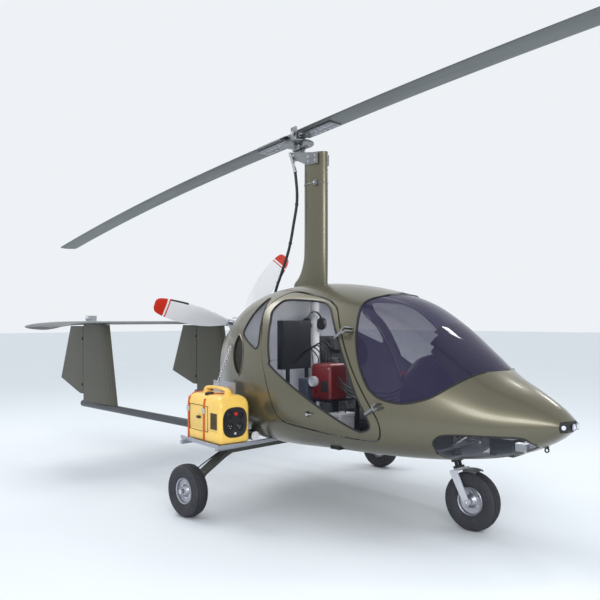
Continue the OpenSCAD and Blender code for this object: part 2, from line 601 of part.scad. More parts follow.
// Fin and rudder outlines, [x, z]
hinge_x = -2187;
fin_low = boom_z + 22 + boom_r;
fin_half = 26;                   // half thickness of a fin
rudder_nose = 16;
function fin_half_at(f) = fin_half * (f < .3 ? sqrt(1 - pow((.3 - f) / .3, 2)) : 1 - .25 * pow((f - .3) / .7, 2));
function fin_ring(z, front, back) =
    let(n = 9)
    [for (i = [0:2 * n - 1]) let(k = i < n ? i : 2 * n - 1 - i, f = pow(k / (n - 1), 1.4), s = i < n ? 1 : -1)
        [front + (back - front) * f, s * max(1.5, fin_half_at(f)), z]];
fin_back = hinge_x + rudder_nose + 6;
hinge_zs = [700, 1120];
lug_r = 12;
module fins() color(olive) mirrored() difference() {
    translate([0, boom_y, 0]) union() {
        loft([fin_ring(fin_low - 8, -1590, fin_back), fin_ring(fin_top - eps, -1730, fin_back)]);
        for (z = hinge_zs) {
            translate([hinge_x, 0, z - 6]) cylinder(r = lug_r, h = 12);
            box([hinge_x, -8, z - 6], [fin_back + 6, 8, z + 6]);
        }
    }
    for (z = hinge_zs) translate([hinge_x, boom_y, z - 10]) cylinder(r = 4 + fit, h = 20);
    boom(.3);
}
RUDDER = [[hinge_x, fin_top - 14], [-2432, fin_top - 14], [-2640, 740], [-2235, 618], [hinge_x, 618]];
module rudder(side) color(olive) translate([0, side * boom_y, 0]) {
    difference() {
        intersection() {
            union() {
                cylinder_at_hinge(618, fin_top - 14, rudder_nose);
                loft([for (z = [600, fin_top]) [[hinge_x, rudder_nose, z], [hinge_x - 120, rudder_nose - 2, z], [-2700, 1.5, z],
                      [-2700, -1.5, z], [hinge_x - 120, -rudder_nose + 2, z], [hinge_x, -rudder_nose, z]]]);
            }
            union() {
                rotate([90, 0, 0]) linear_extrude(200, center = true) polygon(RUDDER);
                cylinder_at_hinge(618, fin_top - 14, rudder_nose + 2);
            }
        }
        for (z = hinge_zs) box([hinge_x - lug_r - 8, -40, z - 11], [hinge_x + 60, 40, z + 11]);
    }
    for (z = hinge_zs) cylinder_at_hinge(z - 14, z + 14, 4);
}
module cylinder_at_hinge(low, high, radius) translate([hinge_x, 0, low]) cylinder(r = radius, h = high - low);
module rudder_left() rudder(1);
module rudder_right() rudder(-1);

half_span = stabilizer_span / 2;
STAB_CHORD = [[0, 1], [.86, 1], [.94, .97], [.98, .86], [1, .66]];
STAB_DROP = [[0, 0], [.72, 0], [.84, .12], [.94, .5], [1, 1]];
module stabilizer() color(grey) loft([for (y = [-1, -.985, -.96, -.92, -.86, -.78, -.6, 0, .6, .78, .86, .92, .96, .985, 1])
    let(c = at(STAB_CHORD, abs(y)), d = tip_droop * at(STAB_DROP, abs(y)), front = -1705, chord = 735)
    [for (i = [0:15]) let(a = -360 * i / 16)
        [front - chord * (1 - c) * .35 - chord * c * (.5 - .5 * cos(a)), y * half_span,
         fin_top + 15 - d + 15 * sin(a) * (1 + .3 * cos(a)) * (.6 + .4 * c)]]]);
module tail_lamps() color(silver) mirrored() box([-2095, boom_y - 35, fin_top + 31.2], [-2025, boom_y + 35, fin_top + 80]);

// ---------------------------------------------------------------- main gear
wheel_y = track_width / 2;
main_r = main_tyre_diameter / 2;
leg_x = -10;
leg_end_y = wheel_y - main_tyre_width / 2 - 34;
leg_thick = 24;
function leg_ring(y, z, half, tilt) =
    [for (q = [[half, -leg_thick / 2], [-half, -leg_thick / 2], [-half, leg_thick / 2], [half, leg_thick / 2]])
        [leg_x + q[0], y - q[1] * sin(tilt) , z + q[1] * cos(tilt)]];
leg_z = belly_height - leg_thick / 2 - 2;
module main_gear_leg() color(olive) {
    loft([leg_ring(-leg_end_y, main_r - 30, 30, 90), leg_ring(-leg_end_y, main_r + 56, 34, 80),
          leg_ring(-leg_end_y + 26, main_r + 92, 37, 58),
          leg_ring(-leg_end_y + 190, leg_z - 24, 43, 34), leg_ring(-leg_end_y + 250, leg_z, 45, 10), leg_ring(0, leg_z, 50, 0),
          leg_ring(leg_end_y - 250, leg_z, 45, -10), leg_ring(leg_end_y - 190, leg_z - 24, 43, -34),
          leg_ring(leg_end_y - 26, main_r + 92, 37, -58),
          leg_ring(leg_end_y, main_r + 56, 34, -80), leg_ring(leg_end_y, main_r - 30, 30, -90)]);
    // clamp block up to the belly
    box([leg_x - 60, -150, leg_z + leg_thick / 2 - eps], [leg_x + 60, 150, bottom_z(frac(leg_x + 60)) - eps]);
}
axle_r = 10;
main_hub_half = 40;
module main_axles() color(silver) mirrored() {
    translate([leg_x, leg_end_y + leg_thick / 2 + .3, main_r]) rotate([-90, 0, 0]) {
        cylinder(r = 26, h = 10);
        cylinder(r = axle_r, h = wheel_y - leg_end_y - leg_thick / 2 + main_hub_half + 12);
    }
    // retaining nut outside the hub
    translate([leg_x, wheel_y + main_hub_half + 5, main_r]) rotate([-90, 0, 0]) cylinder(r = 17, h = 14);
    // brake disc
    translate([leg_x, leg_end_y + leg_thick / 2 + 8.5, main_r]) rotate([-90, 0, 0]) cylinder(r = 52, h = 4);
}
// Tyre around the Y axis with a round shoulder; the bore sits on the rim
module tyre(radius, width, rim_r) rotate([90, 0, 0]) rotate_extrude($fn = 64) translate([rim_r, 0]) {
    h = radius - rim_r;
    polygon([[eps, -width * .36], [h * .3, -width * .46], [h * .62, -width * .5], [h * .86, -width * .42], [h * .97, -width * .26],
             [h, -width * .1], [h, width * .1], [h * .97, width * .26], [h * .86, width * .42], [h * .62, width * .5],
             [h * .3, width * .46], [eps, width * .36]]);
}
module rim(rim_r, width, hub_half, hub_r) rotate([90, 0, 0]) rotate_extrude($fn = 64) {
    polygon([[axle_r + fit, -hub_half], [hub_r, -hub_half], [hub_r, -12], [rim_r - 14, -12], [rim_r - 12, -width * .34],
             [rim_r, -width * .36], [rim_r, width * .36], [rim_r - 12, width * .34], [rim_r - 14, 12], [hub_r, 12],
             [hub_r, hub_half], [axle_r + fit, hub_half]]);
}
main_rim_r = main_r * .52;
nose_r = nose_tyre_diameter / 2;
nose_rim_r = nose_r * .5;
module main_wheel_at(side) translate([leg_x, side * wheel_y, main_r]) children();
module main_tyre_left() color(dark) main_wheel_at(1) tyre(main_r, main_tyre_width, main_rim_r);
module main_rim_left() color(silver) main_wheel_at(1) rim(main_rim_r, main_tyre_width, main_hub_half, 26);
module main_tyre_right() color(dark) main_wheel_at(-1) tyre(main_r, main_tyre_width, main_rim_r);
module main_rim_right() color(silver) main_wheel_at(-1) rim(main_rim_r, main_tyre_width, main_hub_half, 26);

// ---------------------------------------------------------------- nose gear
nose_hub_half = 34;
fork_y = nose_tyre_width / 2 + 16;
fork_plate = 8;
steer_point = [nose_axle_x - 93, 0, nose_r + 180];     // where the steering axis meets the fork crown
strut_collar = 38;
// Frame of the steering axis: origin on the crown, z up along the axis
module nose_strut_frame() translate(steer_point) rotate([0, -steering_rake, 0]) children();
module nose_strut() color(dark) nose_strut_frame() {
    for (y = [-20, 20]) translate([0, y, 16]) cylinder(r = 11, h = 60);
    difference() {
        translate([0, 0, 12]) cylinder(r = 36, h = 10);
        translate([0, 0, 10]) cylinder(r = 9 + fit, h = 30);
    }
    // collar in the belly and plate inside it
    translate([0, 0, 50]) cylinder(r = strut_collar, h = 70);
}
axle_local = [nose_axle_x - steer_point[0], nose_r - steer_point[2]];
module nose_fork() color(white) {
    nose_strut_frame() {
        translate([0, 0, 0]) cylinder(r = 34, h = 10);
        translate([0, 0, 9]) cylinder(r = 9, h = 12);
        box([-26, -fork_y - fork_plate, -8], [26, fork_y + fork_plate, 4]);
    }
    for (y = [-fork_y - fork_plate, fork_y]) translate([steer_point[0], y, steer_point[2]]) rotate([90, 0, 0]) mirror([0, 0, 1])
        linear_extrude(fork_plate) hull() {
            translate(axle_local) circle(r = 20);
            rotate(steering_rake) translate([-26, -8]) square([52, 12]);
        }
    // axle and the spacers that keep the wheel in the middle
    translate([nose_axle_x, 0, nose_r]) rotate([90, 0, 0]) {
        cylinder(r = axle_r, h = 2 * (fork_y + fork_plate) + 16, center = true);
        for (y = [nose_hub_half + 5, -fork_y - 1]) translate([0, 0, y]) cylinder(r = 15, h = fork_y - nose_hub_half - 4);
    }
}
module nose_tyre() color(dark) translate([nose_axle_x, 0, nose_r]) tyre(nose_r, nose_tyre_width, nose_rim_r);
module nose_rim() color(silver) translate([nose_axle_x, 0, nose_r]) rim(nose_rim_r, nose_tyre_width, nose_hub_half, 24);

// ---------------------------------------------------------------- generator on its rack
rack_yaw = -7.6;                 // the rack follows the taper of the fuselage
rack_corner = [270, -955];       // outer front corner of the generator
tray_z = boom_z - boom_r - 1;
module rack_frame() translate([rack_corner[0], rack_corner[1], tray_z]) rotate([0, 0, rack_yaw]) children();
module generator_tray() color(silver) meshed() difference() {
    union() {
        rack_bars();
        rack_frame() tray_sheets();
    }
    body_solid(-eps);
}
module rack_bars() for (x = [-170, 215]) box([x, -950, tray_z - 24], [x + 25, -200, tray_z + .5]);
module tray_sheets() {
    box([-generator_length - 40, -24, 0], [24, generator_width + 8, 3]);
    box([-generator_length - 40, -24, 0], [24, -21, 26]);
    box([21, -24, 0], [24, generator_width + 8, 22]);
    box([-generator_length - 40, generator_width + 4, 0], [-190, generator_width + 7, 390]);
}
module generator() color([0.95, 0.72, 0.2]) rack_frame() {
    low = 18;
    high = generator_height - 52;
    difference() {
        union() {
            translate([-generator_length / 2, generator_width / 2, low]) linear_extrude(high - low) offset(r = 26)
                square([generator_length - 52, generator_width - 52], center = true);
            // carrying handle
            box([-generator_length + 60, generator_width / 2 - 20, high - 1], [-generator_length + 100, generator_width / 2 + 20, high + 30]);
            box([-110, generator_width / 2 - 20, high - 1], [-70, generator_width / 2 + 20, high + 30]);
            box([-generator_length + 60, generator_width / 2 - 20, high + 28], [-70, generator_width / 2 + 20, high + 52]);
        }
    }
    for (x = [-generator_length + 50, -80], y = [20, generator_width - 60]) box([x, y, 3.2], [x + 40, y + 40, low + .5]);
}
handle_x = -generator_length / 2 - 5;
chain_top = [-80, 1115];         // on the starboard skin
chain_r = 5;
function rack_point(p) = [rack_corner[0] + p[0] * cos(rack_yaw) - p[1] * sin(rack_yaw),
                          rack_corner[1] + p[0] * sin(rack_yaw) + p[1] * cos(rack_yaw), tray_z + p[2]];
module tie_down_chain() color(silver) let(a = [chain_top[0], -skin_y(chain_top[0], chain_top[1]) - chain_r + .7, chain_top[1]],
                                          b = rack_point([handle_x, generator_width / 2, generator_height + chain_r + .4]))
    tube([for (t = [0:.125:1.001]) a + (b - a) * t], chain_r, 8);

// ---------------------------------------------------------------- assembly
fuselage_shell();
windshield();
fixed_windows();
nose_lamp();
tow_eye();
hinge_brackets();
door_right();
door_right_window();
door_right_hinges();
door_left();
door_left_window();
door_left_hinges();
cabin_floor();
firewall();
seat_frame();
seat_cushions();
instrument_panel();
cockpit_controls();
equipment_rack();
sensor_unit();
engine();
propeller_hub();
propeller_blades();
mast();
rotor_head_plates();
rotor_gimbal();
bearing_block();
rotor_tower();
hub_bar();
rotor_blades();
prerotator_hose();
tail_booms();
fins();
stabilizer();
tail_lamps();
rudder_left();
rudder_right();
main_gear_leg();
main_axles();
main_tyre_left();
main_rim_left();
main_tyre_right();
main_rim_right();
nose_strut();
nose_fork();
nose_tyre();
nose_rim();
generator_tray();
generator();
tie_down_chain();
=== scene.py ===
"""Looks of a parked gyrocopter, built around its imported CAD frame. Metres: +X nose, +Y port, +Z up."""
import math

import bmesh
import bpy
import numpy as np
from mathutils import Matrix, Vector


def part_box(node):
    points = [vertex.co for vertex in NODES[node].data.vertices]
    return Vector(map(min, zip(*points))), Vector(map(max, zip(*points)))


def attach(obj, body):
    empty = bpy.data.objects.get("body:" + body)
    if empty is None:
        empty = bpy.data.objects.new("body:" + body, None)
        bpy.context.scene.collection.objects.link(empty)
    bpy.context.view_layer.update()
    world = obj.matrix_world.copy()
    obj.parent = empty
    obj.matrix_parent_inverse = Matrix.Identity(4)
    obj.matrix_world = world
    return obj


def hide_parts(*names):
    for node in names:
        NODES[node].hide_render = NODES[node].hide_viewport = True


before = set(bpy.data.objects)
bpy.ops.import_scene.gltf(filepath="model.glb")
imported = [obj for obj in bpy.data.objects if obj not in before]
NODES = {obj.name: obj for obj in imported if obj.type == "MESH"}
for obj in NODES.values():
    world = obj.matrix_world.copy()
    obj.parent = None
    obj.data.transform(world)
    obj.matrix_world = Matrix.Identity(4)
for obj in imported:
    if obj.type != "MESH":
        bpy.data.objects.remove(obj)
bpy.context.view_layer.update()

# ---------------------------------------------------------------- sizes shared with the CAD part
NOSE_X, LENGTH, HALF = 2.2, 2.65, 0.708
ROOF, BELLY = 1.553, 0.402
WALL, GLASS_INSET, GLASS = 0.012, 0.003, 0.004
DOOR_GAP = 0.009
TAIL_X = NOSE_X - LENGTH
HEIGHT = ROOF - BELLY
TOP = [(0, .785), (.113, .935), (.226, .993), (.358, 1), (.49, .959), (.604, .888), (.698, .768),
       (.774, .638), (.849, .506), (.917, .421), (.966, .351), (1, .281)]
BOTTOM = [(0, .048), (.132, .005), (.283, 0), (.434, .014), (.585, .02), (.717, .033), (.83, .069),
          (.906, .118), (.962, .183), (1, .252)]
HALF_WIDTH = [(0, .571), (.113, .816), (.226, .952), (.34, 1), (.472, .975), (.604, .873), (.717, .71),
              (.811, .541), (.894, .369), (.955, .22), (.986, .131), (1, .075)]
MIDDLE = [(0, .415), (.17, .389), (.472, .346), (.66, .294), (.849, .259), (1, .267)]
TOP_ROUND, BELLY_ROUND = (2.7, 1.7), (2.7, 2.3)

# Side view outlines in millimetres, x then z
DOOR = [(339, 1492), (262, 1458), (222, 1400), (218, 1340), (298, 1217), (375, 1018), (457, 816), (505, 700),
        (540, 655), (600, 632), (763, 612), (1031, 582), (1205, 576), (1252, 600), (1272, 650), (1266, 706),
        (1235, 768), (1109, 969), (957, 1208), (845, 1351), (770, 1404), (683, 1438), (503, 1474)]
DOOR_WINDOW = [(312, 1345), (322, 1402), (370, 1431), (567, 1424), (696, 1408), (773, 1372), (836, 1310),
               (941, 1178), (1051, 1005), (1137, 837), (1198, 720), (1206, 664), (1165, 638), (1109, 644),
               (904, 752), (485, 982), (441, 1040), (356, 1268)]
QUARTER_WINDOW = [(150, 1448), (118, 1400), (80, 1260), (74, 1205), (110, 1175), (204, 1131), (270, 1104),
                  (297, 1110), (303, 1150), (262, 1270), (195, 1390)]
AIR_INLET = [(12, 1188), (-18, 1130), (-22, 1060), (10, 985), (60, 930), (99, 915), (132, 960), (140, 1050),
             (110, 1130), (50, 1178)]
WINDSHIELD = [(1045, 1750), (1045, 1470), (1000, 1456), (966, 1434), (953, 1405), (966, 1368), (1019, 1263),
              (1057, 1173), (1121, 1027), (1184, 913), (1225, 868), (1272, 838), (1356, 816), (1436, 820),
              (1535, 852), (1617, 912), (1685, 966), (1725, 990), (1790, 998), (2300, 1000), (2300, 1750)]
WINDSHIELD_CORNERS = {0, 1, 2, 18, 19, 20}
CHIN = [(1520, 300), (1528, 520), (1542, 585), (1564, 620), (1603, 641), (1693, 648), (1884, 646),
        (1960, 645), (2000, 634), (2030, 600), (2040, 300)]
CHIN_CORNERS = {0, 1, 9, 10}
LAMP = [(2150, 682), (2162, 676), (2300, 676), (2300, 738), (2162, 738), (2150, 732)]
LAMP_CORNERS = {2, 3}
SPINE = 0.09


# ---------------------------------------------------------------- curves and skin
def circle(sides):
    """Angles of the corners of a ring."""
    return np.arange(sides) * 2 * math.pi / sides


def unit(vector):
    return vector / np.linalg.norm(vector)


def curve(knots, x):
    """Smooth curve through knots (position, value) at the positions x."""
    k = np.array(knots, float)
    x = np.clip(x, k[0, 0], k[-1, 0])
    i = np.clip(np.searchsorted(k[:, 0], x, side="right") - 1, 0, len(k) - 2)
    low, high = np.maximum(np.arange(len(k)) - 1, 0), np.minimum(np.arange(len(k)) + 1, len(k) - 1)
    slope = (k[high, 1] - k[low, 1]) / (k[high, 0] - k[low, 0])
    h = k[i + 1, 0] - k[i, 0]
    t = (x - k[i, 0]) / h
    t2, t3 = t * t, t * t * t
    return ((2 * t3 - 3 * t2 + 1) * k[i, 1] + (t3 - 2 * t2 + t) * h * slope[i]
            + (3 * t2 - 2 * t3) * k[i + 1, 1] + (t3 - t2) * h * slope[i + 1])


def sections(x):
    """Half width, middle height, height above and below it, and both exponents of the skin at x."""
    f = np.clip((np.asarray(x, float) - TAIL_X) / LENGTH, 0, 1)
    middle = BELLY + HEIGHT * curve(MIDDLE, f)
    up = BELLY + HEIGHT * curve(TOP, f) - middle
    down = middle - BELLY - HEIGHT * curve(BOTTOM, f)
    top_n = TOP_ROUND[0] + (TOP_ROUND[1] - TOP_ROUND[0]) * f
    low_n = BELLY_ROUND[0] + (BELLY_ROUND[1] - BELLY_ROUND[0]) * f
    return HALF * curve(HALF_WIDTH, f), middle, up, down, top_n, low_n


def skin_scale(points):
    """1 on the skin, less inside it."""
    p = np.asarray(points, float)
    w, m, up, down, top_n, low_n = sections(p[:, 0])
    above = p[:, 2] >= m
    n = np.where(above, top_n, low_n)
    h = np.where(above, up, down)
    return ((np.abs(p[:, 1]) / w) ** n + (np.abs(p[:, 2] - m) / h) ** n) ** (1 / n)


def skin_slope(points):
    """Gradient of skin_scale."""
    step = 2e-4
    out = np.zeros((len(points), 3))
    for axis in range(3):
        d = np.zeros(3)
        d[axis] = step
        out[:, axis] = (skin_scale(points + d) - skin_scale(points - d)) / (2 * step)
    return out


def skin_y(x, z):
    """Half width of the skin at a length x and a height z."""
    w, m, up, down, top_n, low_n = [float(v) for v in sections(x)]
    n, h = (top_n, up) if z >= m else (low_n, down)
    return w * max(0.0, 1 - min(abs(z - m) / h, 1) ** n) ** (1 / n)


def top_z(x):
    """Height of the skin's top line."""
    _, m, up, _, _, _ = [float(v) for v in sections(x)]
    return m + up


def bottom_z(x):
    """Height of the skin's lowest line."""
    _, m, _, down, _, _ = [float(v) for v in sections(x)]
    return m - down


def on_skin(x, z, side, lift=0.0):
    """Point on the skin, lifted along its normal."""
    p = np.array([x, side * skin_y(x, z), z])
    return p + outward(p) * lift


def outward(point):
    """Unit normal of the skin near a point."""
    return unit(skin_slope(np.array([point]))[0])


def smooth_loop(points, corners=(), steps=6, closed=True):
    """Catmull-Rom curve through the points; spans that touch a corner stay straight."""
    p = np.array(points, float)
    n = len(p)
    out = []
    for i in range(n if closed else n - 1):
        a, b, c, d = p[(i - 1) % n], p[i], p[(i + 1) % n], p[(i + 2) % n]
        if not closed:
            a = p[max(i - 1, 0)]
            d = p[min(i + 2, n - 1)]
        straight = i in corners or (i + 1) % n in corners
        for s in range(1 if straight else steps):
            t = s / steps
            out.append(0.5 * (2 * b + (c - a) * t + (2 * a - 5 * b + 4 * c - d) * t * t
                              + (3 * b - a - 3 * c + d) * t ** 3))
    if not closed:
        out.append(p[-1])
    return np.array(out)


def side_loop(outline, corners=()):
    """Smooth loop in metres along a side view outline in millimetres."""
    return smooth_loop(np.array(outline) / 1000, corners)


# ---------------------------------------------------------------- materials
def srgb(red, green, blue):
    """Linear colour of an 8-bit screen colour."""
    out = []
    for c in (red, green, blue):
        v = c / 255
        out.append(v / 12.92 if v <= 0.04045 else ((v + 0.055) / 1.055) ** 2.4)
    return tuple(out)


def shade(colour, factor):
    """Colour made lighter or darker, with full opacity."""
    return tuple(min(1.0, c * factor) for c in colour) + (1.0,)


class Look:
    """A Principled material whose colour, roughness and normal vary over the surface."""

    def __init__(self, name, colour, roughness, metallic=0.0, vary=0.1, patch=4.0, spread=0.06, grain=350.0,
                 bump=0.1, stretch=(1, 1, 1)):
        self.material = bpy.data.materials.new(name)
        self.material.use_nodes = True
        self.tree = self.material.node_tree
        self.shader = self.tree.nodes["Principled BSDF"]
        self.shader.inputs["Metallic"].default_value = metallic
        where = self.tree.nodes.new("ShaderNodeTexCoord")
        self.mapping = self.tree.nodes.new("ShaderNodeMapping")
        self.mapping.inputs["Scale"].default_value = stretch
        self.link(where.outputs["Object"], self.mapping.inputs["Vector"])
        tones = [(0.3, shade(colour, 1 - vary)), (0.7, shade(colour, 1 + vary))]
        self.colour = self.ramp(self.noise(patch, 5), tones)
        self.link(self.colour, self.shader.inputs["Base Color"])
        self.link(self.range(self.noise(patch * 3.1, 4), roughness - spread, roughness + spread),
                  self.shader.inputs["Roughness"])
        self.bump(self.noise(grain, 3), bump)

    def link(self, a, b):
        self.tree.links.new(a, b)

    def noise(self, scale, detail=3):
        node = self.tree.nodes.new("ShaderNodeTexNoise")
        node.inputs["Scale"].default_value = scale
        node.inputs["Detail"].default_value = detail
        self.link(self.mapping.outputs["Vector"], node.inputs["Vector"])
        return node.outputs["Fac"]

    def ramp(self, value, stops):
        node = self.tree.nodes.new("ShaderNodeValToRGB")
        ramp = node.color_ramp
        for k, (position, colour) in enumerate(stops):
            stop = ramp.elements[k] if k < 2 else ramp.elements.new(position)
            stop.position = position
            stop.color = colour
        self.link(value, node.inputs["Fac"])
        return node.outputs["Color"]

    def range(self, value, low, high, start=0.3, end=0.7):
        node = self.tree.nodes.new("ShaderNodeMapRange")
        for name, number in (("From Min", start), ("From Max", end), ("To Min", low), ("To Max", high)):
            node.inputs[name].default_value = number
        self.link(value, node.inputs["Value"])
        return node.outputs["Result"]

    def bump(self, value, strength, distance=0.001):
        node = self.tree.nodes.new("ShaderNodeBump")
        node.inputs["Strength"].default_value = strength
        node.inputs["Distance"].default_value = distance
        self.link(value, node.inputs["Height"])
        self.link(node.outputs["Normal"], self.shader.inputs["Normal"])

    def mix(self, factor, a, b, kind="MIX"):
        """Blends two colours; each value is a number, a colour or a socket."""
        node = self.tree.nodes.new("ShaderNodeMix")
        node.data_type = "RGBA"
        node.blend_type = kind
        node.clamp_result = True
        for socket, value in ((node.inputs[0], factor), (node.inputs[6], a), (node.inputs[7], b)):
            if hasattr(value, "is_output"):
                self.link(value, socket)
            else:
                socket.default_value = value
        return node.outputs[2]

    def wave(self, scale, axis, distortion):
        node = self.tree.nodes.new("ShaderNodeTexWave")
        node.bands_direction = axis
        for name, number in (("Scale", scale), ("Distortion", distortion), ("Detail", 0.0)):
            node.inputs[name].default_value = number
        self.link(self.mapping.outputs["Vector"], node.inputs["Vector"])
        return node.outputs["Fac"]

    def cells(self, scale):
        node = self.tree.nodes.new("ShaderNodeTexVoronoi")
        node.inputs["Scale"].default_value = scale
        self.link(self.mapping.outputs["Vector"], node.inputs["Vector"])
        return node.outputs["Distance"]

    def set(self, **numbers):
        """Sets sockets of the shader that are the same all over."""
        for name, value in numbers.items():
            self.shader.inputs[name.replace("_", " ").title().replace("Ior", "IOR")].default_value = value
        return self


def paint(name, colour, roughness=0.3, metallic=0.35, flake=0.05, coat=0.6):
    """Metallic car paint: tone patches, fine flake and a clear coat."""
    look = Look(name, colour, roughness, metallic, vary=0.05, patch=1.4, spread=0.035, grain=900, bump=0.02)
    flakes = look.ramp(look.cells(1400), [(0.0, (1, 1, 1, 1)), (0.5, (1 - 2 * flake,) * 3 + (1,))])
    look.link(look.mix(1.0, look.colour, flakes, "MULTIPLY"), look.shader.inputs["Base Color"])
    return look.set(coat_weight=coat, coat_roughness=0.14)


def metal(name, colour, roughness=0.32, vary=0.12, stretch=(1, 1, 1), bump=0.12):
    """Machined or brushed metal with smudges."""
    return Look(name, colour, roughness, 1.0, vary=vary, patch=9, spread=0.1, grain=500, bump=bump,
                stretch=stretch)


def glass(name, colour, facing, edge, roughness=0.03):
    """Tinted sheet: clearer when faced, mirror-like at a grazing angle, with faint smears."""
    look = Look(name, colour, roughness + 0.02, 0.0, vary=0.12, patch=2.2, spread=0.02, grain=6, bump=0.015)
    weight = look.tree.nodes.new("ShaderNodeLayerWeight")
    weight.inputs["Blend"].default_value = 0.35
    look.link(look.range(weight.outputs["Facing"], facing, edge, 0.0, 1.0), look.shader.inputs["Alpha"])
    look.set(ior=1.5)
    look.material.blend_method = "BLEND"
    return look


OLIVE = paint("olive_paint", srgb(106, 102, 84), roughness=0.33, metallic=0.6, coat=0.45)
FIN_OLIVE = paint("tail_olive_paint", srgb(78, 76, 62), roughness=0.42, metallic=0.3, coat=0.2)
LINING = Look("cabin_lining", srgb(96, 96, 104), 0.85, vary=0.12, patch=12, grain=160, bump=0.12)
RUBBER = Look("black_rubber", srgb(20, 20, 22), 0.55, vary=0.2, patch=25, grain=600, bump=0.3)
TYRE = Look("tyre_rubber", srgb(50, 51, 57), 0.72, vary=0.18, patch=18, grain=260, bump=0.45)
DARK_PLASTIC = Look("dark_plastic", srgb(27, 27, 30), 0.55, vary=0.15, patch=12, grain=320, bump=0.12)
SCREEN = Look("flat_screen", srgb(16, 17, 20), 0.35, vary=0.1, patch=4, spread=0.04, grain=900, bump=0.05)
ALUMINIUM = metal("aluminium", srgb(190, 192, 197), 0.34)
BRUSHED = metal("brushed_sheet", srgb(176, 178, 186), 0.4, stretch=(1, 14, 14))
STEEL = metal("bolt_steel", srgb(205, 205, 208), 0.25, bump=0.05)
HEAD_METAL = metal("rotor_head_metal", srgb(140, 143, 146), 0.38, vary=0.2)
DARK_METAL = metal("dark_metal", srgb(58, 60, 62), 0.45, vary=0.25)
BOOM_METAL = paint("boom_paint", srgb(66, 70, 78), roughness=0.42, metallic=0.3, coat=0.2)
LEG_PAINT = paint("leg_paint", srgb(78, 78, 72), roughness=0.45, metallic=0.4, coat=0.15)
BLADE = Look("rotor_blade", srgb(112, 116, 116), 0.42, 0.55, vary=0.07, patch=2, spread=0.06, grain=300,
             bump=0.04, stretch=(0.2, 3, 3))
TAIL_GREY = Look("tail_grey", srgb(86, 91, 94), 0.4, 0.3, vary=0.06, patch=2, spread=0.05, grain=500,
                 bump=0.04)
WHITE = Look("white_gloss", srgb(236, 237, 240), 0.22, vary=0.03, patch=5, spread=0.04, grain=300, bump=0.03)
WHITE.set(coat_weight=0.5, coat_roughness=0.04)
FORK_WHITE = Look("fork_white", srgb(205, 207, 216), 0.38, vary=0.05, patch=16, spread=0.07, grain=420,
                  bump=0.15)
RED = Look("red_gloss", srgb(205, 48, 30), 0.25, vary=0.05, patch=6, spread=0.04, grain=300, bump=0.03)
EDGE_GUARD = Look("blade_edge_guard", srgb(72, 70, 72), 0.4, 0.6, vary=0.15, patch=20, grain=400, bump=0.1)
YELLOW = Look("generator_yellow", srgb(250, 205, 98), 0.36, vary=0.06, patch=9, spread=0.07, grain=520,
              bump=0.12)
YELLOW.set(coat_weight=0.25, coat_roughness=0.12)
STRAP = Look("orange_strap", srgb(206, 96, 48), 0.8, vary=0.15, patch=40, grain=900, bump=0.4)
RED_UNIT = Look("red_unit", srgb(122, 18, 18), 0.34, vary=0.12, patch=10, spread=0.08, grain=600, bump=0.1)
LENS = Look("clear_lens", srgb(215, 220, 232), 0.08, vary=0.05, patch=40, spread=0.03, grain=80, bump=0.08)
LENS.set(coat_weight=1.0, coat_roughness=0.02)
INSULATION = Look("engine_wall_quilt", srgb(208, 211, 219), 0.6, 0.0, vary=0.08, patch=3, grain=120, bump=0.3)
CASTING = Look("engine_casting", srgb(96, 98, 102), 0.55, 0.8, vary=0.25, patch=14, grain=220, bump=0.6)
BOX_BLUE = Look("blue_grey_box", srgb(74, 84, 104), 0.5, vary=0.08, patch=12, grain=600, bump=0.15)
PALE_BOX = Look("pale_box", srgb(214, 216, 220), 0.5, vary=0.06, patch=12, grain=600, bump=0.15)
SMOKE = glass("smoked_glass", srgb(56, 53, 82), 0.42, 0.86).set(specular_ior_level=0.25)
SIDE_GLASS = glass("door_glass", srgb(52, 55, 66), 0.04, 0.4).set(specular_ior_level=0.2)
CHIN_GLASS = glass("chin_glass", srgb(84, 88, 98), 0.05, 0.45).set(specular_ior_level=0.3)
SEAT_FABRIC = Look("seat_fabric", srgb(44, 44, 48), 0.9, vary=0.14, patch=60, grain=900, bump=0.3)
SEAT_FABRIC.set(sheen_weight=0.35, sheen_roughness=0.5)
weave_a = SEAT_FABRIC.wave(160, "X", 0.6)
weave_b = SEAT_FABRIC.wave(160, "Y", 0.6)
SEAT_FABRIC.bump(SEAT_FABRIC.mix(1.0, weave_a, weave_b, "MULTIPLY"), 0.5, 0.0006)
MESH = Look("black_mesh", srgb(26, 26, 24), 0.6, 0.3, vary=0.2, patch=20)
MESH.bump(MESH.cells(120), 0.9, 0.003)
HOSE = Look("braided_hose", srgb(38, 38, 40), 0.6, vary=0.25, patch=50)
HOSE.bump(HOSE.wave(90, "Z", 2.0), 0.5, 0.001)


# ---------------------------------------------------------------- shapes
def link(name, data):
    """New object of a mesh, light or camera, in the scene."""
    obj = bpy.data.objects.new(name, data)
    bpy.context.scene.collection.objects.link(obj)
    return obj


def side_axes(direction):
    """Unit vector of a direction, and two more that are square to it."""
    d = unit(np.array(direction, float))
    helper = np.array([0, 0, 1.0]) if abs(d[2]) < 0.9 else np.array([1.0, 0, 0])
    u = unit(np.cross(d, helper))
    return d, u, np.cross(d, u)


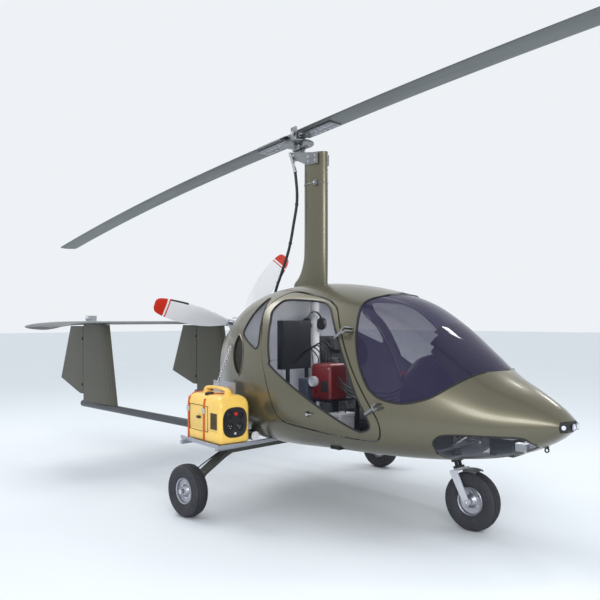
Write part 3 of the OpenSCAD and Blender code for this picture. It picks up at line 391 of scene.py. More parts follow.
class Shape:
    """Collects faces with a material each, and makes one object of them."""

    def __init__(self, place=None):
        self.points, self.faces, self.slots, self.materials = [], [], [], []
        self.place = np.eye(4) if place is None else np.array(place)

    def add(self, points, faces, look):
        start = len(self.points)
        moved = np.asarray(points, float) @ self.place[:3, :3].T + self.place[:3, 3]
        self.points += moved.tolist()
        if look.material not in self.materials:
            self.materials.append(look.material)
        slot = self.materials.index(look.material)
        self.faces += [tuple(start + i for i in f) for f in faces]
        self.slots += [slot] * len(faces)

    def loft(self, rings, look, caps=True, closed=False):
        """Skin over rings of equal length; closed joins the last ring to the first."""
        n, s = len(rings), len(rings[0])
        faces = []
        for k in range(n if closed else n - 1):
            a, b = k * s, (k + 1) % n * s
            faces += [(a + i, a + (i + 1) % s, b + (i + 1) % s, b + i) for i in range(s)]
        if caps and not closed:
            faces += [tuple(range(s))[::-1], tuple((n - 1) * s + i for i in range(s))]
        self.add(np.concatenate(rings), faces, look)

    def box(self, low, high, look):
        corners = [(x, y, z) for z in (low[2], high[2]) for y in (low[1], high[1]) for x in (low[0], high[0])]
        faces = [(0, 2, 3, 1), (4, 5, 7, 6), (0, 1, 5, 4), (2, 6, 7, 3), (0, 4, 6, 2), (1, 3, 7, 5)]
        self.add(corners, faces, look)

    def rounded_box(self, low, high, radius, look):
        """Box with round upright edges."""
        levels = (low[2], high[2])
        self.loft([rounded_ring(low[0], high[0], low[1], high[1], radius, z) for z in levels], look)

    def rod(self, a, b, radius, look, sides=24, end_radius=None):
        """Cylinder or cone between two points."""
        a, b = np.array(a, float), np.array(b, float)
        _, u, v = side_axes(b - a)
        turn = circle(sides)
        ring = np.outer(np.cos(turn), u) + np.outer(np.sin(turn), v)
        self.loft([a + ring * radius, b + ring * (radius if end_radius is None else end_radius)], look)

    def tube(self, path, radius, look, sides=10, closed=False, flat=1.0):
        """Round tube along a path; flat squashes it along its second axis."""
        p = np.array(path, float)
        n = len(p)
        ahead = np.roll(p, -1, axis=0) - np.roll(p, 1, axis=0)
        if not closed:
            ahead[0], ahead[-1] = p[1] - p[0], p[-1] - p[-2]
        ahead /= np.linalg.norm(ahead, axis=1)[:, None]
        _, u, _ = side_axes(ahead[0])
        turn = circle(sides)
        rings, frames = [], []
        for k in range(n):
            u = unit(u - ahead[k] * np.dot(u, ahead[k]))
            frames.append(u)
        if closed:
            end = frames[-1] - ahead[0] * np.dot(frames[-1], ahead[0])
            twist = math.atan2(np.dot(np.cross(frames[0], end), ahead[0]), np.dot(frames[0], end))
        for k in range(n):
            v = np.cross(ahead[k], frames[k])
            angle = turn - (twist * k / n if closed else 0)
            around = np.outer(np.cos(angle), frames[k]) + flat * np.outer(np.sin(angle), v)
            rings.append(p[k] + radius * around)
        self.loft(rings, look, closed=closed)

    def cable(self, points, radius, look, sides=8):
        """Round tube along an open smooth curve through a few points."""
        self.tube(smooth_loop(points, steps=8, closed=False), radius, look, sides)

    def revolve(self, profile, centre, axis, look, sides=64, closed=True):
        """Turns (radius, along) points about an axis; a closed profile is a ring-shaped solid."""
        d, u, v = side_axes(axis)
        p = np.array(profile, float)
        turn = circle(sides)
        spokes = np.outer(np.cos(turn), u) + np.outer(np.sin(turn), v)
        rings = [np.array(centre) + d * along + spokes * max(radius, 1e-4) for radius, along in p]
        self.loft(rings, look, closed=closed, caps=not closed)

    def bolt(self, at, axis, radius, look, height=None):
        """Hexagon head with a washer."""
        d, _, _ = side_axes(axis)
        height = height or radius * 0.8
        at = np.array(at, float)
        self.rod(at, at + d * height * 0.25, radius * 1.35, look, 20)
        self.rod(at + d * height * 0.25, at + d * height, radius, look, 6)

    def make(self, name, body, replaces=(), bevel=0.0, angle=38, segments=2):
        mesh = bpy.data.meshes.new(name)
        mesh.from_pydata(self.points, [], self.faces)
        for material in self.materials:
            mesh.materials.append(material)
        mesh.polygons.foreach_set("material_index", self.slots)
        mesh.update()
        obj = link(name, mesh)
        finish_mesh(obj, angle)
        if bevel:
            soften(obj, bevel, segments, angle)
        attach(obj, body)
        for node in replaces:
            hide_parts(node)
        return obj


def rounded_ring(x_low, x_high, y_low, y_high, radius, z, steps=8):
    """Level ring of points round a rectangle with round corners."""
    out = []
    for cx, cy, start in ((x_high - radius, y_high - radius, 0), (x_low + radius, y_high - radius, 90),
                          (x_low + radius, y_low + radius, 180), (x_high - radius, y_low + radius, 270)):
        for k in range(steps + 1):
            a = math.radians(start + 90 * k / steps)
            out.append((cx + radius * math.cos(a), cy + radius * math.sin(a), z))
    return np.array(out)


def rework(mesh, step=None):
    """Runs a bmesh step on a mesh and turns its faces outward."""
    work = bmesh.new()
    work.from_mesh(mesh)
    if step:
        step(work)
    bmesh.ops.recalc_face_normals(work, faces=work.faces[:])
    work.to_mesh(mesh)
    work.free()


def smooth_shading(mesh, angle):
    """Smooth shading that keeps edges sharper than the angle."""
    mesh.shade_smooth()
    mesh.set_sharp_from_angle(angle=math.radians(angle))


def finish_mesh(obj, angle=38):
    rework(obj.data)
    smooth_shading(obj.data, angle)


def soften(obj, width, segments=2, angle=38):
    """Rounds the sharp edges a little, as on real parts."""
    bevel = obj.modifiers.new("edges", "BEVEL")
    bevel.width = width
    bevel.segments = segments
    bevel.limit_method = "ANGLE"
    bevel.angle_limit = math.radians(angle)
    weighted = obj.modifiers.new("normals", "WEIGHTED_NORMAL")
    weighted.keep_sharp = False


def solid(name, rings):
    """Closed plain object over rings, for cutting."""
    shape = Shape()
    shape.loft(rings, LINING)
    mesh = bpy.data.meshes.new(name)
    mesh.from_pydata(shape.points, [], shape.faces)
    obj = link(name, mesh)
    finish_mesh(obj)
    return obj


# ---------------------------------------------------------------- cut panels of the fuselage skin
FAR = 1.5
SIDE_START = 0.2
PANE_GAP, INLET_GAP = 0.0005, 0.001
MESH_OUTER, MESH_INNER = 0.009, 0.0115
SUNK = 0.001
OUTSIDE, INSIDE, EDGE, FLAT_END = range(4)
FINE = np.concatenate([np.linspace(0, 0.9, 96), np.linspace(0.9, 1, 26)[1:]])
RING = 128


def skin_solid(name, inset, overrun=0.0):
    """Closed solid inside the skin, moved in by inset; an overrun makes it stick out behind."""
    stop = 0.004 + inset / LENGTH if overrun else 1e-9
    turn = circle(RING)
    c, s = np.cos(turn), np.sin(turn)
    rings = []
    for f in FINE:
        x = TAIL_X + min(f, 1 - stop) * LENGTH
        w, m, up, down, top_n, low_n = sections(x)
        n = np.where(s < 0, low_n, top_n)
        reach = np.where(s < 0, down, up) - inset
        rings.append(np.column_stack([np.full(RING, x), (w - inset) * np.sign(c) * np.abs(c) ** (2 / n),
                                      m + reach * np.sign(s) * np.abs(s) ** (2 / n)]))
    if overrun:
        last = rings[-1]
        behind = [rings[0] - np.array([overrun, 0, 0])] + rings
        rings = [ring for ring in behind if ring[0, 0] < last[0, 0] - 1e-6] + [last]
    return solid(name, rings)


def prism(name, outline, grow, low, high, corners=()):
    """Straight cutter across the body for a side view outline, from one y to another."""
    loop = side_loop(outline, corners)
    if grow:
        ahead = np.roll(loop, -1, axis=0) - np.roll(loop, 1, axis=0)
        ahead /= np.linalg.norm(ahead, axis=1)[:, None]
        following = np.roll(loop, -1, axis=0)
        area = np.sum(loop[:, 0] * following[:, 1] - following[:, 0] * loop[:, 1])
        loop = loop + grow * math.copysign(1, area) * np.column_stack([ahead[:, 1], -ahead[:, 0]])
    x, z = loop[:, 0], loop[:, 1]
    return solid(name, [np.column_stack([x, np.full(len(loop), y), z]) for y in (low, high)])


def carve(target, steps):
    """Applies boolean steps (operation, tool) to the target and removes the tools."""
    for operation, tool in steps:
        cut = target.modifiers.new("cut", "BOOLEAN")
        cut.operation = operation
        cut.object = tool
        cut.solver = "MANIFOLD"
        bake(target)
        bpy.data.objects.remove(tool)
    return target


def bake(obj):
    """Applies all modifiers of an object."""
    graph = bpy.context.evaluated_depsgraph_get()
    mesh = bpy.data.meshes.new_from_object(obj.evaluated_get(graph))
    obj.modifiers.clear()
    obj.data = mesh


def both_sides(outline, grow, start, corners=()):
    """A right and a left cutter that leave the middle of the body, up to start, alone."""
    return [prism("tool", outline, grow, low, high, corners) for low, high in ((-FAR, -start), (start, FAR))]


def layer(name, outer, inner):
    """Closed shell between two depths under the skin."""
    return carve(skin_solid(name, outer), [("DIFFERENCE", skin_solid("tool", inner, 0.04))])


def dress(obj, outer, inner, outside, inside, edge):
    """Gives skin faces their materials and exact normals."""
    mesh = obj.data
    mesh.materials.clear()
    for look in (outside, inside, edge):
        mesh.materials.append(look.material)
    points = np.zeros(len(mesh.vertices) * 3)
    mesh.vertices.foreach_get("co", points)
    points = points.reshape(-1, 3)
    slope = skin_slope(points)
    steepness = np.maximum(np.linalg.norm(slope, axis=1), 1e-6)
    depth = (1 - skin_scale(points)) / steepness
    normal = slope / steepness[:, None]
    thick = inner - outer
    kinds = np.full(len(mesh.polygons), EDGE)
    for k, face in enumerate(mesh.polygons):
        d = depth[list(face.vertices)]
        at_end = face.center.x < TAIL_X + 0.03 or face.center.x > NOSE_X - 0.03
        flat_end = abs(face.normal.x) > 0.9 and at_end
        if d.max() < outer + 0.3 * thick:
            kinds[k] = FLAT_END if flat_end else OUTSIDE
        elif d.min() > outer + 0.7 * thick:
            kinds[k] = FLAT_END if flat_end else INSIDE
    mesh.polygons.foreach_set("material_index", np.where(kinds == FLAT_END, OUTSIDE, kinds).astype(int))
    mesh.shade_smooth()
    normals = np.zeros((len(mesh.loops), 3))
    for k, face in enumerate(mesh.polygons):
        for loop, vertex in zip(face.loop_indices, face.vertices):
            if kinds[k] == OUTSIDE:
                normals[loop] = normal[vertex]
            elif kinds[k] == INSIDE:
                normals[loop] = -normal[vertex]
            else:
                normals[loop] = face.normal
    mesh.normals_split_custom_set(normals.tolist())
    return obj


def place_panel(obj, name, body, *nodes):
    """Names a cut panel and says which body it rides on and which CAD nodes it stands for."""
    obj.name = name
    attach(obj, body)
    for node in nodes:
        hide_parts(node)


def ring_on_skin(outline, side, lift):
    """Loop of points on the skin along a side view outline, for one side."""
    return [on_skin(x, z, side, lift) for x, z in side_loop(outline)]


def pane(name, body, node, tool, look):
    """Sheet of glass, set a little under the skin, where the tool cuts it out."""
    sheet = carve(layer("pane", GLASS_INSET, GLASS_INSET + GLASS), [("INTERSECT", tool)])
    dress(sheet, GLASS_INSET, GLASS_INSET + GLASS, look, look, RUBBER)
    place_panel(sheet, name, body, node)


def body_panels():
    """Shell, doors and windows cut from the smooth skin."""
    shell = layer("shell", 0, WALL)
    steps = []
    for outline in (DOOR, QUARTER_WINDOW, AIR_INLET):
        steps += [("DIFFERENCE", tool) for tool in both_sides(outline, 0, SIDE_START)]
    steps += [("DIFFERENCE", tool) for tool in both_sides(CHIN, 0, SPINE, CHIN_CORNERS)]
    steps += [("DIFFERENCE", prism("tool", outline, 0, -FAR, FAR, corners))
              for outline, corners in ((WINDSHIELD, WINDSHIELD_CORNERS), (LAMP, LAMP_CORNERS))]
    shell = dress(carve(shell, steps), 0, WALL, OLIVE, LINING, OLIVE)
    place_panel(shell, "fuselage_skin", "airframe", "fuselage_shell")

    pane("windshield_glass", "airframe", "windshield",
         prism("tool", WINDSHIELD, -PANE_GAP, -FAR, FAR, WINDSHIELD_CORNERS), SMOKE)

    for low, high, word in ((-FAR, -SIDE_START, "right"), (SIDE_START, FAR, "left")):
        door = carve(layer("door", 0, WALL), [("INTERSECT", prism("tool", DOOR, -DOOR_GAP, low, high)),
                                              ("DIFFERENCE", prism("tool", DOOR_WINDOW, 0, low, high))])
        dress(door, 0, WALL, OLIVE, LINING, OLIVE)
        place_panel(door, "door_panel_" + word, "door_" + word, "door_" + word)
        pane("door_pane_" + word, "door_" + word, f"door_{word}_window",
             prism("tool", DOOR_WINDOW, -PANE_GAP, low, high), SIDE_GLASS)

    number = 0
    for outline, start, corners, look in ((QUARTER_WINDOW, SIDE_START, (), SIDE_GLASS),
                                          (CHIN, SPINE + PANE_GAP, CHIN_CORNERS, CHIN_GLASS)):
        for tool in both_sides(outline, -PANE_GAP, start, corners):
            number += 1
            pane(f"fixed_pane_{number}", "airframe", "fixed_windows", tool, look)

    for k, tool in enumerate(both_sides(AIR_INLET, -INLET_GAP, SIDE_START)):
        grille = carve(layer("grille", MESH_OUTER, MESH_INNER), [("INTERSECT", tool)])
        dress(grille, MESH_OUTER, MESH_INNER, MESH, MESH, MESH)
        place_panel(grille, f"inlet_mesh_{k + 1}", "airframe")


def ridge_x(z, low, high):
    """Position along the body where the top line has a height."""
    for _ in range(40):
        middle = (low + high) / 2
        if top_z(middle) > z:
            low = middle
        else:
            high = middle
    return (low + high) / 2


def seals():
    """Rubber round the windows and door openings, the air inlets' rims, and the door locks."""
    fixed = Shape()
    run = [(x, z) for x, z in side_loop(WINDSHIELD, WINDSHIELD_CORNERS)
           if z < top_z(x) - 0.004 and 0.9 < x < 1.9]
    right, left = [[on_skin(x, z, side, -SUNK) for x, z in run] for side in (-1, 1)]
    end_x = ridge_x(0.9985, 1.7, 1.9)
    low_end = np.array([end_x, 0, top_z(end_x) - SUNK])
    high_end = np.array([run[0][0] + 0.002, 0, top_z(run[0][0]) - SUNK])
    fixed.tube([high_end] + right + [low_end] + left[::-1], 0.0065, RUBBER, 8, closed=True)
    for side in (-1, 1):
        fixed.tube(ring_on_skin(QUARTER_WINDOW, side, -SUNK), 0.006, RUBBER, 8, closed=True)
        fixed.tube(ring_on_skin(AIR_INLET, side, 0.0), 0.0045, OLIVE, 8, closed=True)
        fixed.tube(ring_on_skin(DOOR, side, -0.0165), 0.0045, RUBBER, 8, closed=True)
        path = [on_skin(x, z, side, -SUNK) for x, z in side_loop(CHIN, CHIN_CORNERS)
                if bottom_z(x) + 0.012 < z and skin_y(x, z) > SPINE + 0.004]
        fixed.tube(path, 0.006, RUBBER, 8)
    fixed.make("window_seals", "airframe")
    for side, word in ((-1, "right"), (1, "left")):
        moving = Shape()
        moving.tube(ring_on_skin(DOOR_WINDOW, side, -SUNK), 0.0065, RUBBER, 8, closed=True)
        # lock plate with its handle, and the inner pull
        at = on_skin(0.795, 0.717, side, 0.0)
        out = outward(at)
        moving.rod(at - out * 0.001, at + out * 0.004, 0.017, DARK_METAL, 28)
        moving.rod(at + out * 0.003, at + out * 0.014, 0.009, STEEL, 20)
        grip = on_skin(0.835, 0.722, side, 0.015)
        moving.tube([at + out * 0.014, (at + grip) / 2 + out * 0.008, grip], 0.006, ALUMINIUM, 10, flat=0.7)
        moving.make("door_trim_" + word, "door_" + word)


body_panels()
seals()


# ---------------------------------------------------------------- carried-over CAD nodes
def keep(node, look, bevel=0.0012, angle=35):
    """Shows a CAD node as it is, with its material and softened edges."""
    obj = NODES[node]
    obj.data.materials.clear()
    obj.data.materials.append(look.material)
    smooth_shading(obj.data, angle)
    if bevel:
        soften(obj, bevel, 2, angle)


KEPT = [("hinge_brackets", HEAD_METAL, 0.0008), ("door_right_hinges", HEAD_METAL, 0.0008),
        ("door_left_hinges", HEAD_METAL, 0.0008), ("tow_eye", DARK_METAL, 0.0008),
        ("nose_lamp", DARK_PLASTIC, 0.0), ("cabin_floor", LINING, 0.0), ("seat_frame", DARK_PLASTIC, 0.003),
        ("firewall", INSULATION, 0.0), ("cockpit_controls", DARK_METAL, 0.001),
        ("equipment_rack", DARK_METAL, 0.001), ("engine", CASTING, 0.004), ("propeller_hub", BRUSHED, 0.0015),
        ("rotor_head_plates", HEAD_METAL, 0.001), ("rotor_gimbal", HEAD_METAL, 0.0015),
        ("bearing_block", HEAD_METAL, 0.0015), ("rotor_tower", HEAD_METAL, 0.0012),
        ("hub_bar", HEAD_METAL, 0.0012), ("tail_booms", BOOM_METAL, 0.001), ("fins", FIN_OLIVE, 0.0),
        ("main_axles", STEEL, 0.0008), ("main_gear_leg", LEG_PAINT, 0.003), ("nose_strut", DARK_METAL, 0.001),
        ("nose_fork", FORK_WHITE, 0.0015), ("generator_tray", BRUSHED, 0.0006),
        ("tail_lamps", ALUMINIUM, 0.002)]
for node, look, bevel in KEPT:
    keep(node, look, bevel)


# ---------------------------------------------------------------- mast and hose
def mast_ring(z, chord, sides=64):
    """Level section of the mast fairing."""
    a = circle(sides)
    half = chord / 2
    return np.column_stack([0.302 - half + half * np.cos(a), 0.055 * (1 - 0.12 * np.cos(a)) * np.sin(a),
                            np.full(sides, z)])


def mast():
    """Mast fairing, the tube under it inside the cabin, and its root lip and clamp band."""
    shape = Shape()
    knots = [(1.493, 0.34), (1.567, 0.34), (1.613, 0.29), (1.683, 0.25), (1.783, 0.226), (2.53, 0.22),
             (2.54, 0.204)]
    heights = np.linspace(knots[0][0], knots[-1][0], 60)
    shape.loft([mast_ring(z, chord) for z, chord in zip(heights, curve(knots, heights))], OLIVE)
    shape.rod((0.172, 0, 0.477), (0.172, 0, 1.5), 0.036, PALE_BOX, 32)
    lip = [(x, y * 1.08, top_z(x)) for x, y, _ in mast_ring(1.5675, 0.352)]
    shape.tube(lip, 0.006, RUBBER, 8, closed=True)
    band = mast_ring(2.31, 0.2235, 48)
    band[:, 1] *= 1.02
    shape.tube(band, 0.0034, HEAD_METAL, 8, closed=True)
    shape.box((0.225, -0.066, 2.292), (0.252, -0.051, 2.328), HEAD_METAL)
    shape.rod((0.2385, -0.065, 2.31), (0.2385, -0.078, 2.31), 0.0085, STEEL, 20)
    shape.make("mast_fairing", "airframe", ["mast"], angle=50)


def hose():
    """Drive hose up the mast, with its end fittings and two collars."""
    knots = [(-2.565, -.017), (-2.49, .014), (-2.4, .042), (-2.2, .06), (-2.025, .024), (-1.83, -.03),
             (-1.64, -.12), (-1.55, -.166), (-1.49, -.188), (-1.4, -.188)]
    z = np.linspace(knots[0][0], knots[-1][0], 90)
    x = curve(knots, z)
    path = np.column_stack([x, np.full(len(z), -0.0748), -z])
    shape = Shape()
    shape.tube(path[12:], 0.0108, HOSE, 16)
    shape.tube(path[:13], 0.0125, ALUMINIUM, 16)
    for k in (1, 11):
        shape.tube(path[k:k + 2], 0.0145, STEEL, 16)
    for k in (30, 52):
        shape.tube(path[k:k + 2], 0.0135, DARK_PLASTIC, 16)
    shape.make("drive_hose", "airframe", ["prerotator_hose"])


# ---------------------------------------------------------------- rotor
TEETER = (-0.01, 0, 2.722)
DISC_TILT, PARKED = 4.8, 3.3
HEAD = np.array(Matrix.Translation(Vector(TEETER)) @ Matrix.Rotation(math.radians(-DISC_TILT), 4, "Y"))
SPIN = HEAD @ np.array(Matrix.Rotation(math.radians(-PARKED), 4, "Z"))
TURN_HALF = np.diag([-1.0, -1.0, 1.0, 1.0])
BLADE_ROOT, BLADE_TIP, BLADE_DROOP = 0.112, 4.39, 0.16


def blade_section(r, sides=40):
    """Section of a rotor blade at a distance from the rotor's middle."""
    a = circle(sides)
    c = np.cos(a)
    y = 0.2 * (0.5 * c - 0.05)
    z = 0.013 * np.sin(a) * (1 + 0.25 * c) - 0.022 - BLADE_DROOP * max(0, (r - 0.44) / 3.95) ** 2
    return np.column_stack([np.full(sides, r), y, z])


def rotor():
    """Blades with their tips, and the bolts and ring gear teeth of the rotor head."""
    for k, turn in enumerate((np.eye(4), TURN_HALF)):
        shape = Shape(SPIN @ turn)
        shape.loft([blade_section(r) for r in np.linspace(BLADE_ROOT, BLADE_TIP - 0.012, 60)], BLADE)
        tip = blade_section(BLADE_TIP - 0.012)
        middle = tip.mean(axis=0)
        caps = [tip]
        for step in (0.006, 0.012):
            ring = middle + (tip - middle) * (1 - step * 14)
            ring[:, 0] = BLADE_TIP - 0.012 + step
            caps.append(ring)
        shape.loft(caps, EDGE_GUARD)
        shape.make(f"rotor_blade_{k + 1}", "rotor", ["rotor_blades"], angle=50)
    bolts = Shape(SPIN)
    for side in (-1, 1):
        for x in (0.135, 0.185, 0.235, 0.285, 0.335, 0.385, 0.412):
            for y in (-0.030, 0.024):
                bolts.bolt((side * x, y, -0.0017), (0, 0, 1), 0.0072, STEEL)
                bolts.bolt((side * x, y, -0.0423), (0, 0, -1), 0.0072, STEEL)
        bolts.bolt((side * 0.09, 0, 0.013), (0, 0, 1), 0.0085, STEEL)
    bolts.make("hub_bar_bolts", "rotor")
    head = Shape(SPIN)
    for side in (-1, 1):
        head.bolt((0, side * 0.0502, 0), (0, side, 0), 0.0125, STEEL, 0.011)
        for x in (-0.019, 0.019):
            head.bolt((x, side * 0.043, -0.045), (0, side, 0), 0.0055, STEEL)
    teeth = 56
    for k in range(teeth):
        a = 2 * math.pi * k / teeth
        out, along = np.array([math.cos(a), math.sin(a), 0]), np.array([-math.sin(a), math.cos(a), 0])
        rings = []
        for radius, half in ((0.113, 0.0036), (0.1195, 0.002)):
            rings.append(np.array([out * radius + along * s * half + np.array([0, 0, z])
                                   for s, z in ((-1, -0.0835), (1, -0.0835), (1, -0.0725), (-1, -0.0725))]))
        head.loft(rings, HEAD_METAL)
    head.make("ring_gear_teeth", "rotor_hub")
    block = Shape(HEAD)
    for x in (-0.028, 0.028):
        for side in (-1, 1):
            block.bolt((x, side * 0.03, -0.121), (0, side, 0), 0.005, STEEL)
    block.bolt((0.1, 0, -0.113), (0, 0, 1), 0.007, STEEL)
    block.make("bearing_block_bolts", "bearing_block")
    gimbal = Shape(HEAD)
    for side in (-1, 1):
        gimbal.bolt((side * 0.06, 0, -0.15), (side, 0, 0), 0.009, STEEL)
    gimbal.make("gimbal_nuts", "rotor_gimbal")
    plates = Shape()
    for side in (-1, 1):
        plates.bolt((0.0049, side * 0.0634, 2.5446), (0, side, 0), 0.011, STEEL)
        for x, z in ((0.17, 2.475), (0.24, 2.475), (0.17, 2.51), (0.24, 2.51)):
            plates.bolt((x, side * 0.0634, z), (0, side, 0), 0.007, STEEL)
    plates.make("head_plate_bolts", "airframe")


# ---------------------------------------------------------------- propeller
PROP_CENTRE = (-0.73, 0, 1.25)
PROP_RADIUS = 0.815
PROP_CHORD = [(0, .05), (.15, .058), (.24, .1), (.4, .15), (.6, .168), (.8, .156), (.93, .128), (.985, .096),
              (1, .07)]


BLADE_ANGLES = (168, 48, -72)
STRIPE_LOW, STRIPE_HIGH, RED_FROM = 0.852, 0.865, 0.885
GUARD_LOW, HAIR = 0.662, 1e-6


def propeller():
    """Blades with red tips, a red stripe and a dark guard on the leading edge, and the hub bolts."""
    cut = [0.15, 0.2, 0.25, 0.32, 0.4, 0.48, 0.55, 0.62, 0.66, 0.665, 0.72, 0.78, 0.82]
    for border in (STRIPE_LOW, STRIPE_HIGH, RED_FROM):
        cut += [border, border + HAIR]
    cut += [0.93, 0.96, 0.98, 0.99, 1.0]
    sides = 32
    a = circle(sides)
    for k, angle in enumerate(BLADE_ANGLES):
        place = Matrix.Translation(Vector(PROP_CENTRE)) @ Matrix.Rotation(math.radians(angle - 90), 4, "X")
        shape = Shape(np.array(place))
        rings = []
        for f in cut:
            chord = float(curve(PROP_CHORD, f))
            if f > 0.985:
                chord *= 1 - 0.25 * (f - 0.985) / 0.015
            thick = chord * (0.34 - 0.25 * min(1, 1.3 * f))
            twist = math.radians(38 - 24 * f)
            u = chord / 2 * np.cos(a) - 0.08 * chord
            t = thick / 2 * np.sin(a) * (1 + 0.45 * np.cos(a))
            x = t * math.cos(twist) + u * math.sin(twist)
            y = -t * math.sin(twist) + u * math.cos(twist)
            rings.append(np.column_stack([x, y, np.full(sides, PROP_RADIUS * f)]))
        for j in range(len(cut) - 1):
            middle = (cut[j] + cut[j + 1]) / 2
            look = RED if middle > RED_FROM or STRIPE_LOW < middle < STRIPE_HIGH else WHITE
            ahead = []
            if GUARD_LOW < middle < STRIPE_LOW:
                ahead = [i for i in range(sides) if math.cos(a[i] + math.pi / sides) > 0.82]
            faces = [(i, (i + 1) % sides, sides + (i + 1) % sides, sides + i) for i in range(sides)]
            both = np.concatenate([rings[j], rings[j + 1]])
            shape.add(both, [f for i, f in enumerate(faces) if i not in ahead], look)
            if ahead:
                shape.add(both, [faces[i] for i in ahead], EDGE_GUARD)
        shape.add(rings[0], [tuple(range(sides))], WHITE)
        shape.add(rings[-1], [tuple(range(sides))], RED)
        obj = shape.make(f"propeller_blade_{k + 1}", "propeller", ["propeller_blades"], angle=60)
        weld(obj)
    hub = Shape()
    for angle in BLADE_ANGLES:
        turn = math.radians(angle)
        out = np.array([0, math.cos(turn), math.sin(turn)])
        for spread in (-0.022, 0.022):
            side = np.array([0, -math.sin(turn), math.cos(turn)]) * spread
            at = np.array(PROP_CENTRE) + out * 0.05 + side + np.array([-0.045, 0, 0])
            hub.bolt(at, (-1, 0, 0), 0.006, STEEL)
    hub.make("propeller_hub_bolts", "propeller")


def weld(obj):
    """Joins points that meet and shades the result smooth."""
    rework(obj.data, lambda work: bmesh.ops.remove_doubles(work, verts=work.verts[:], dist=2 * HAIR))
    smooth_shading(obj.data, 60)


# ---------------------------------------------------------------- tail
FIN_TOP, BOOM_Y, HINGE_X = 1.2495, 0.62, -2.187


def tail():
    """Stabiliser with drooped tips, lamp lenses, boom caps, fin bolts and the rudders."""
    shape = Shape()
    half_span, front, chord = 1.1, -1.705, 0.735
    chords = [(0, 1), (.6, 1), (.86, 1), (.94, .97), (.98, .86), (1, .66)]
    drops = [(0, 0), (.6, 0), (.72, 0), (.84, .12), (.94, .5), (1, 1)]
    a = circle(40)
    rings = []
    from_tip = np.array([0, .004, .012, .022, .035, .05, .07, .1, .14, .2, .28])
    span = np.concatenate([from_tip - 1, np.linspace(-.6, .6, 12), 1 - from_tip[::-1]])
    for s in span:
        c, d = float(curve(chords, abs(s))), 0.042 * float(curve(drops, abs(s)))
        x = front - chord * (1 - c) * 0.35 - chord * c * (0.5 - 0.5 * np.cos(a))
        z = FIN_TOP + 0.015 - d + 0.015 * np.sin(a) * (1 + 0.3 * np.cos(a)) * (0.6 + 0.4 * c)
        rings.append(np.column_stack([x, np.full(40, s * half_span), z]))
    shape.loft(rings, TAIL_GREY)
    shape.make("stabilizer_skin", "airframe", ["stabilizer"], angle=50)
    for side, word in ((1, "left"), (-1, "right")):
        lamp = Shape(np.array(Matrix.Translation(Vector((-2.06, side * BOOM_Y, 1.306)))))
        lens = [(0.019, 0), (0.019, 0.008), (0.014, 0.014), (0.001, 0.017)]
        lamp.revolve(lens, (0, side * 0.034, 0), (0, side, 0), LENS, 28, closed=False)
        lamp.make("position_lens_" + word, "airframe")
        cap = Shape()
        cap.revolve([(0.001, 0.0), (0.031, 0.0), (0.031, -0.006), (0.0295, -0.009), (0.001, -0.009)],
                    (0.2245, side * BOOM_Y, 0.507), (1, 0, 0), WHITE, 40, closed=False)
        cap.make("boom_cap_" + word, "airframe")
        trim = Shape()
        for z in (0.7, 1.12):
            trim.bolt((HINGE_X, side * BOOM_Y, z + 0.0105), (0, 0, 1), 0.006, STEEL)
        for x in (-1.72, -1.9, -2.08):
            trim.bolt((x, side * BOOM_Y, 1.2795), (0, 0, 1), 0.006, STEEL, 0.003)
        trim.make("fin_bolts_" + word, "airframe")
        keep("rudder_" + word, FIN_OLIVE, 0.0015)


# ---------------------------------------------------------------- wheels
def tyre_profile(radius, width, rim):
    """Cross section of a ribbed tyre as (radius, along) points, all the way round."""
    half = width / 2
    wall = radius - rim
    side = [(rim - 0.004, half * 0.62), (rim + 0.006, half * 0.8), (rim + wall * 0.35, half * 0.985),
            (rim + wall * 0.55, half), (rim + wall * 0.75, half * 0.96), (radius - 0.014, half * 0.86),
            (radius - 0.007, half * 0.74)]
    crown = []
    groove_depth, crown_drop = 0.0062, 0.0058
    for groove in (0.6, 0.3, 0.0, -0.3, -0.6):
        for step, deep in ((0.07, 0), (0.05, groove_depth), (-0.05, groove_depth), (-0.07, 0)):
            at = groove + step
            crown.append((radius - crown_drop * (at / 0.7) ** 2 * 1.15 - deep, half * at))
    other = [(r, -w) for r, w in side[::-1]]
    return side + crown + other + [(rim - 0.004, -half * 0.3), (rim - 0.004, half * 0.3)]


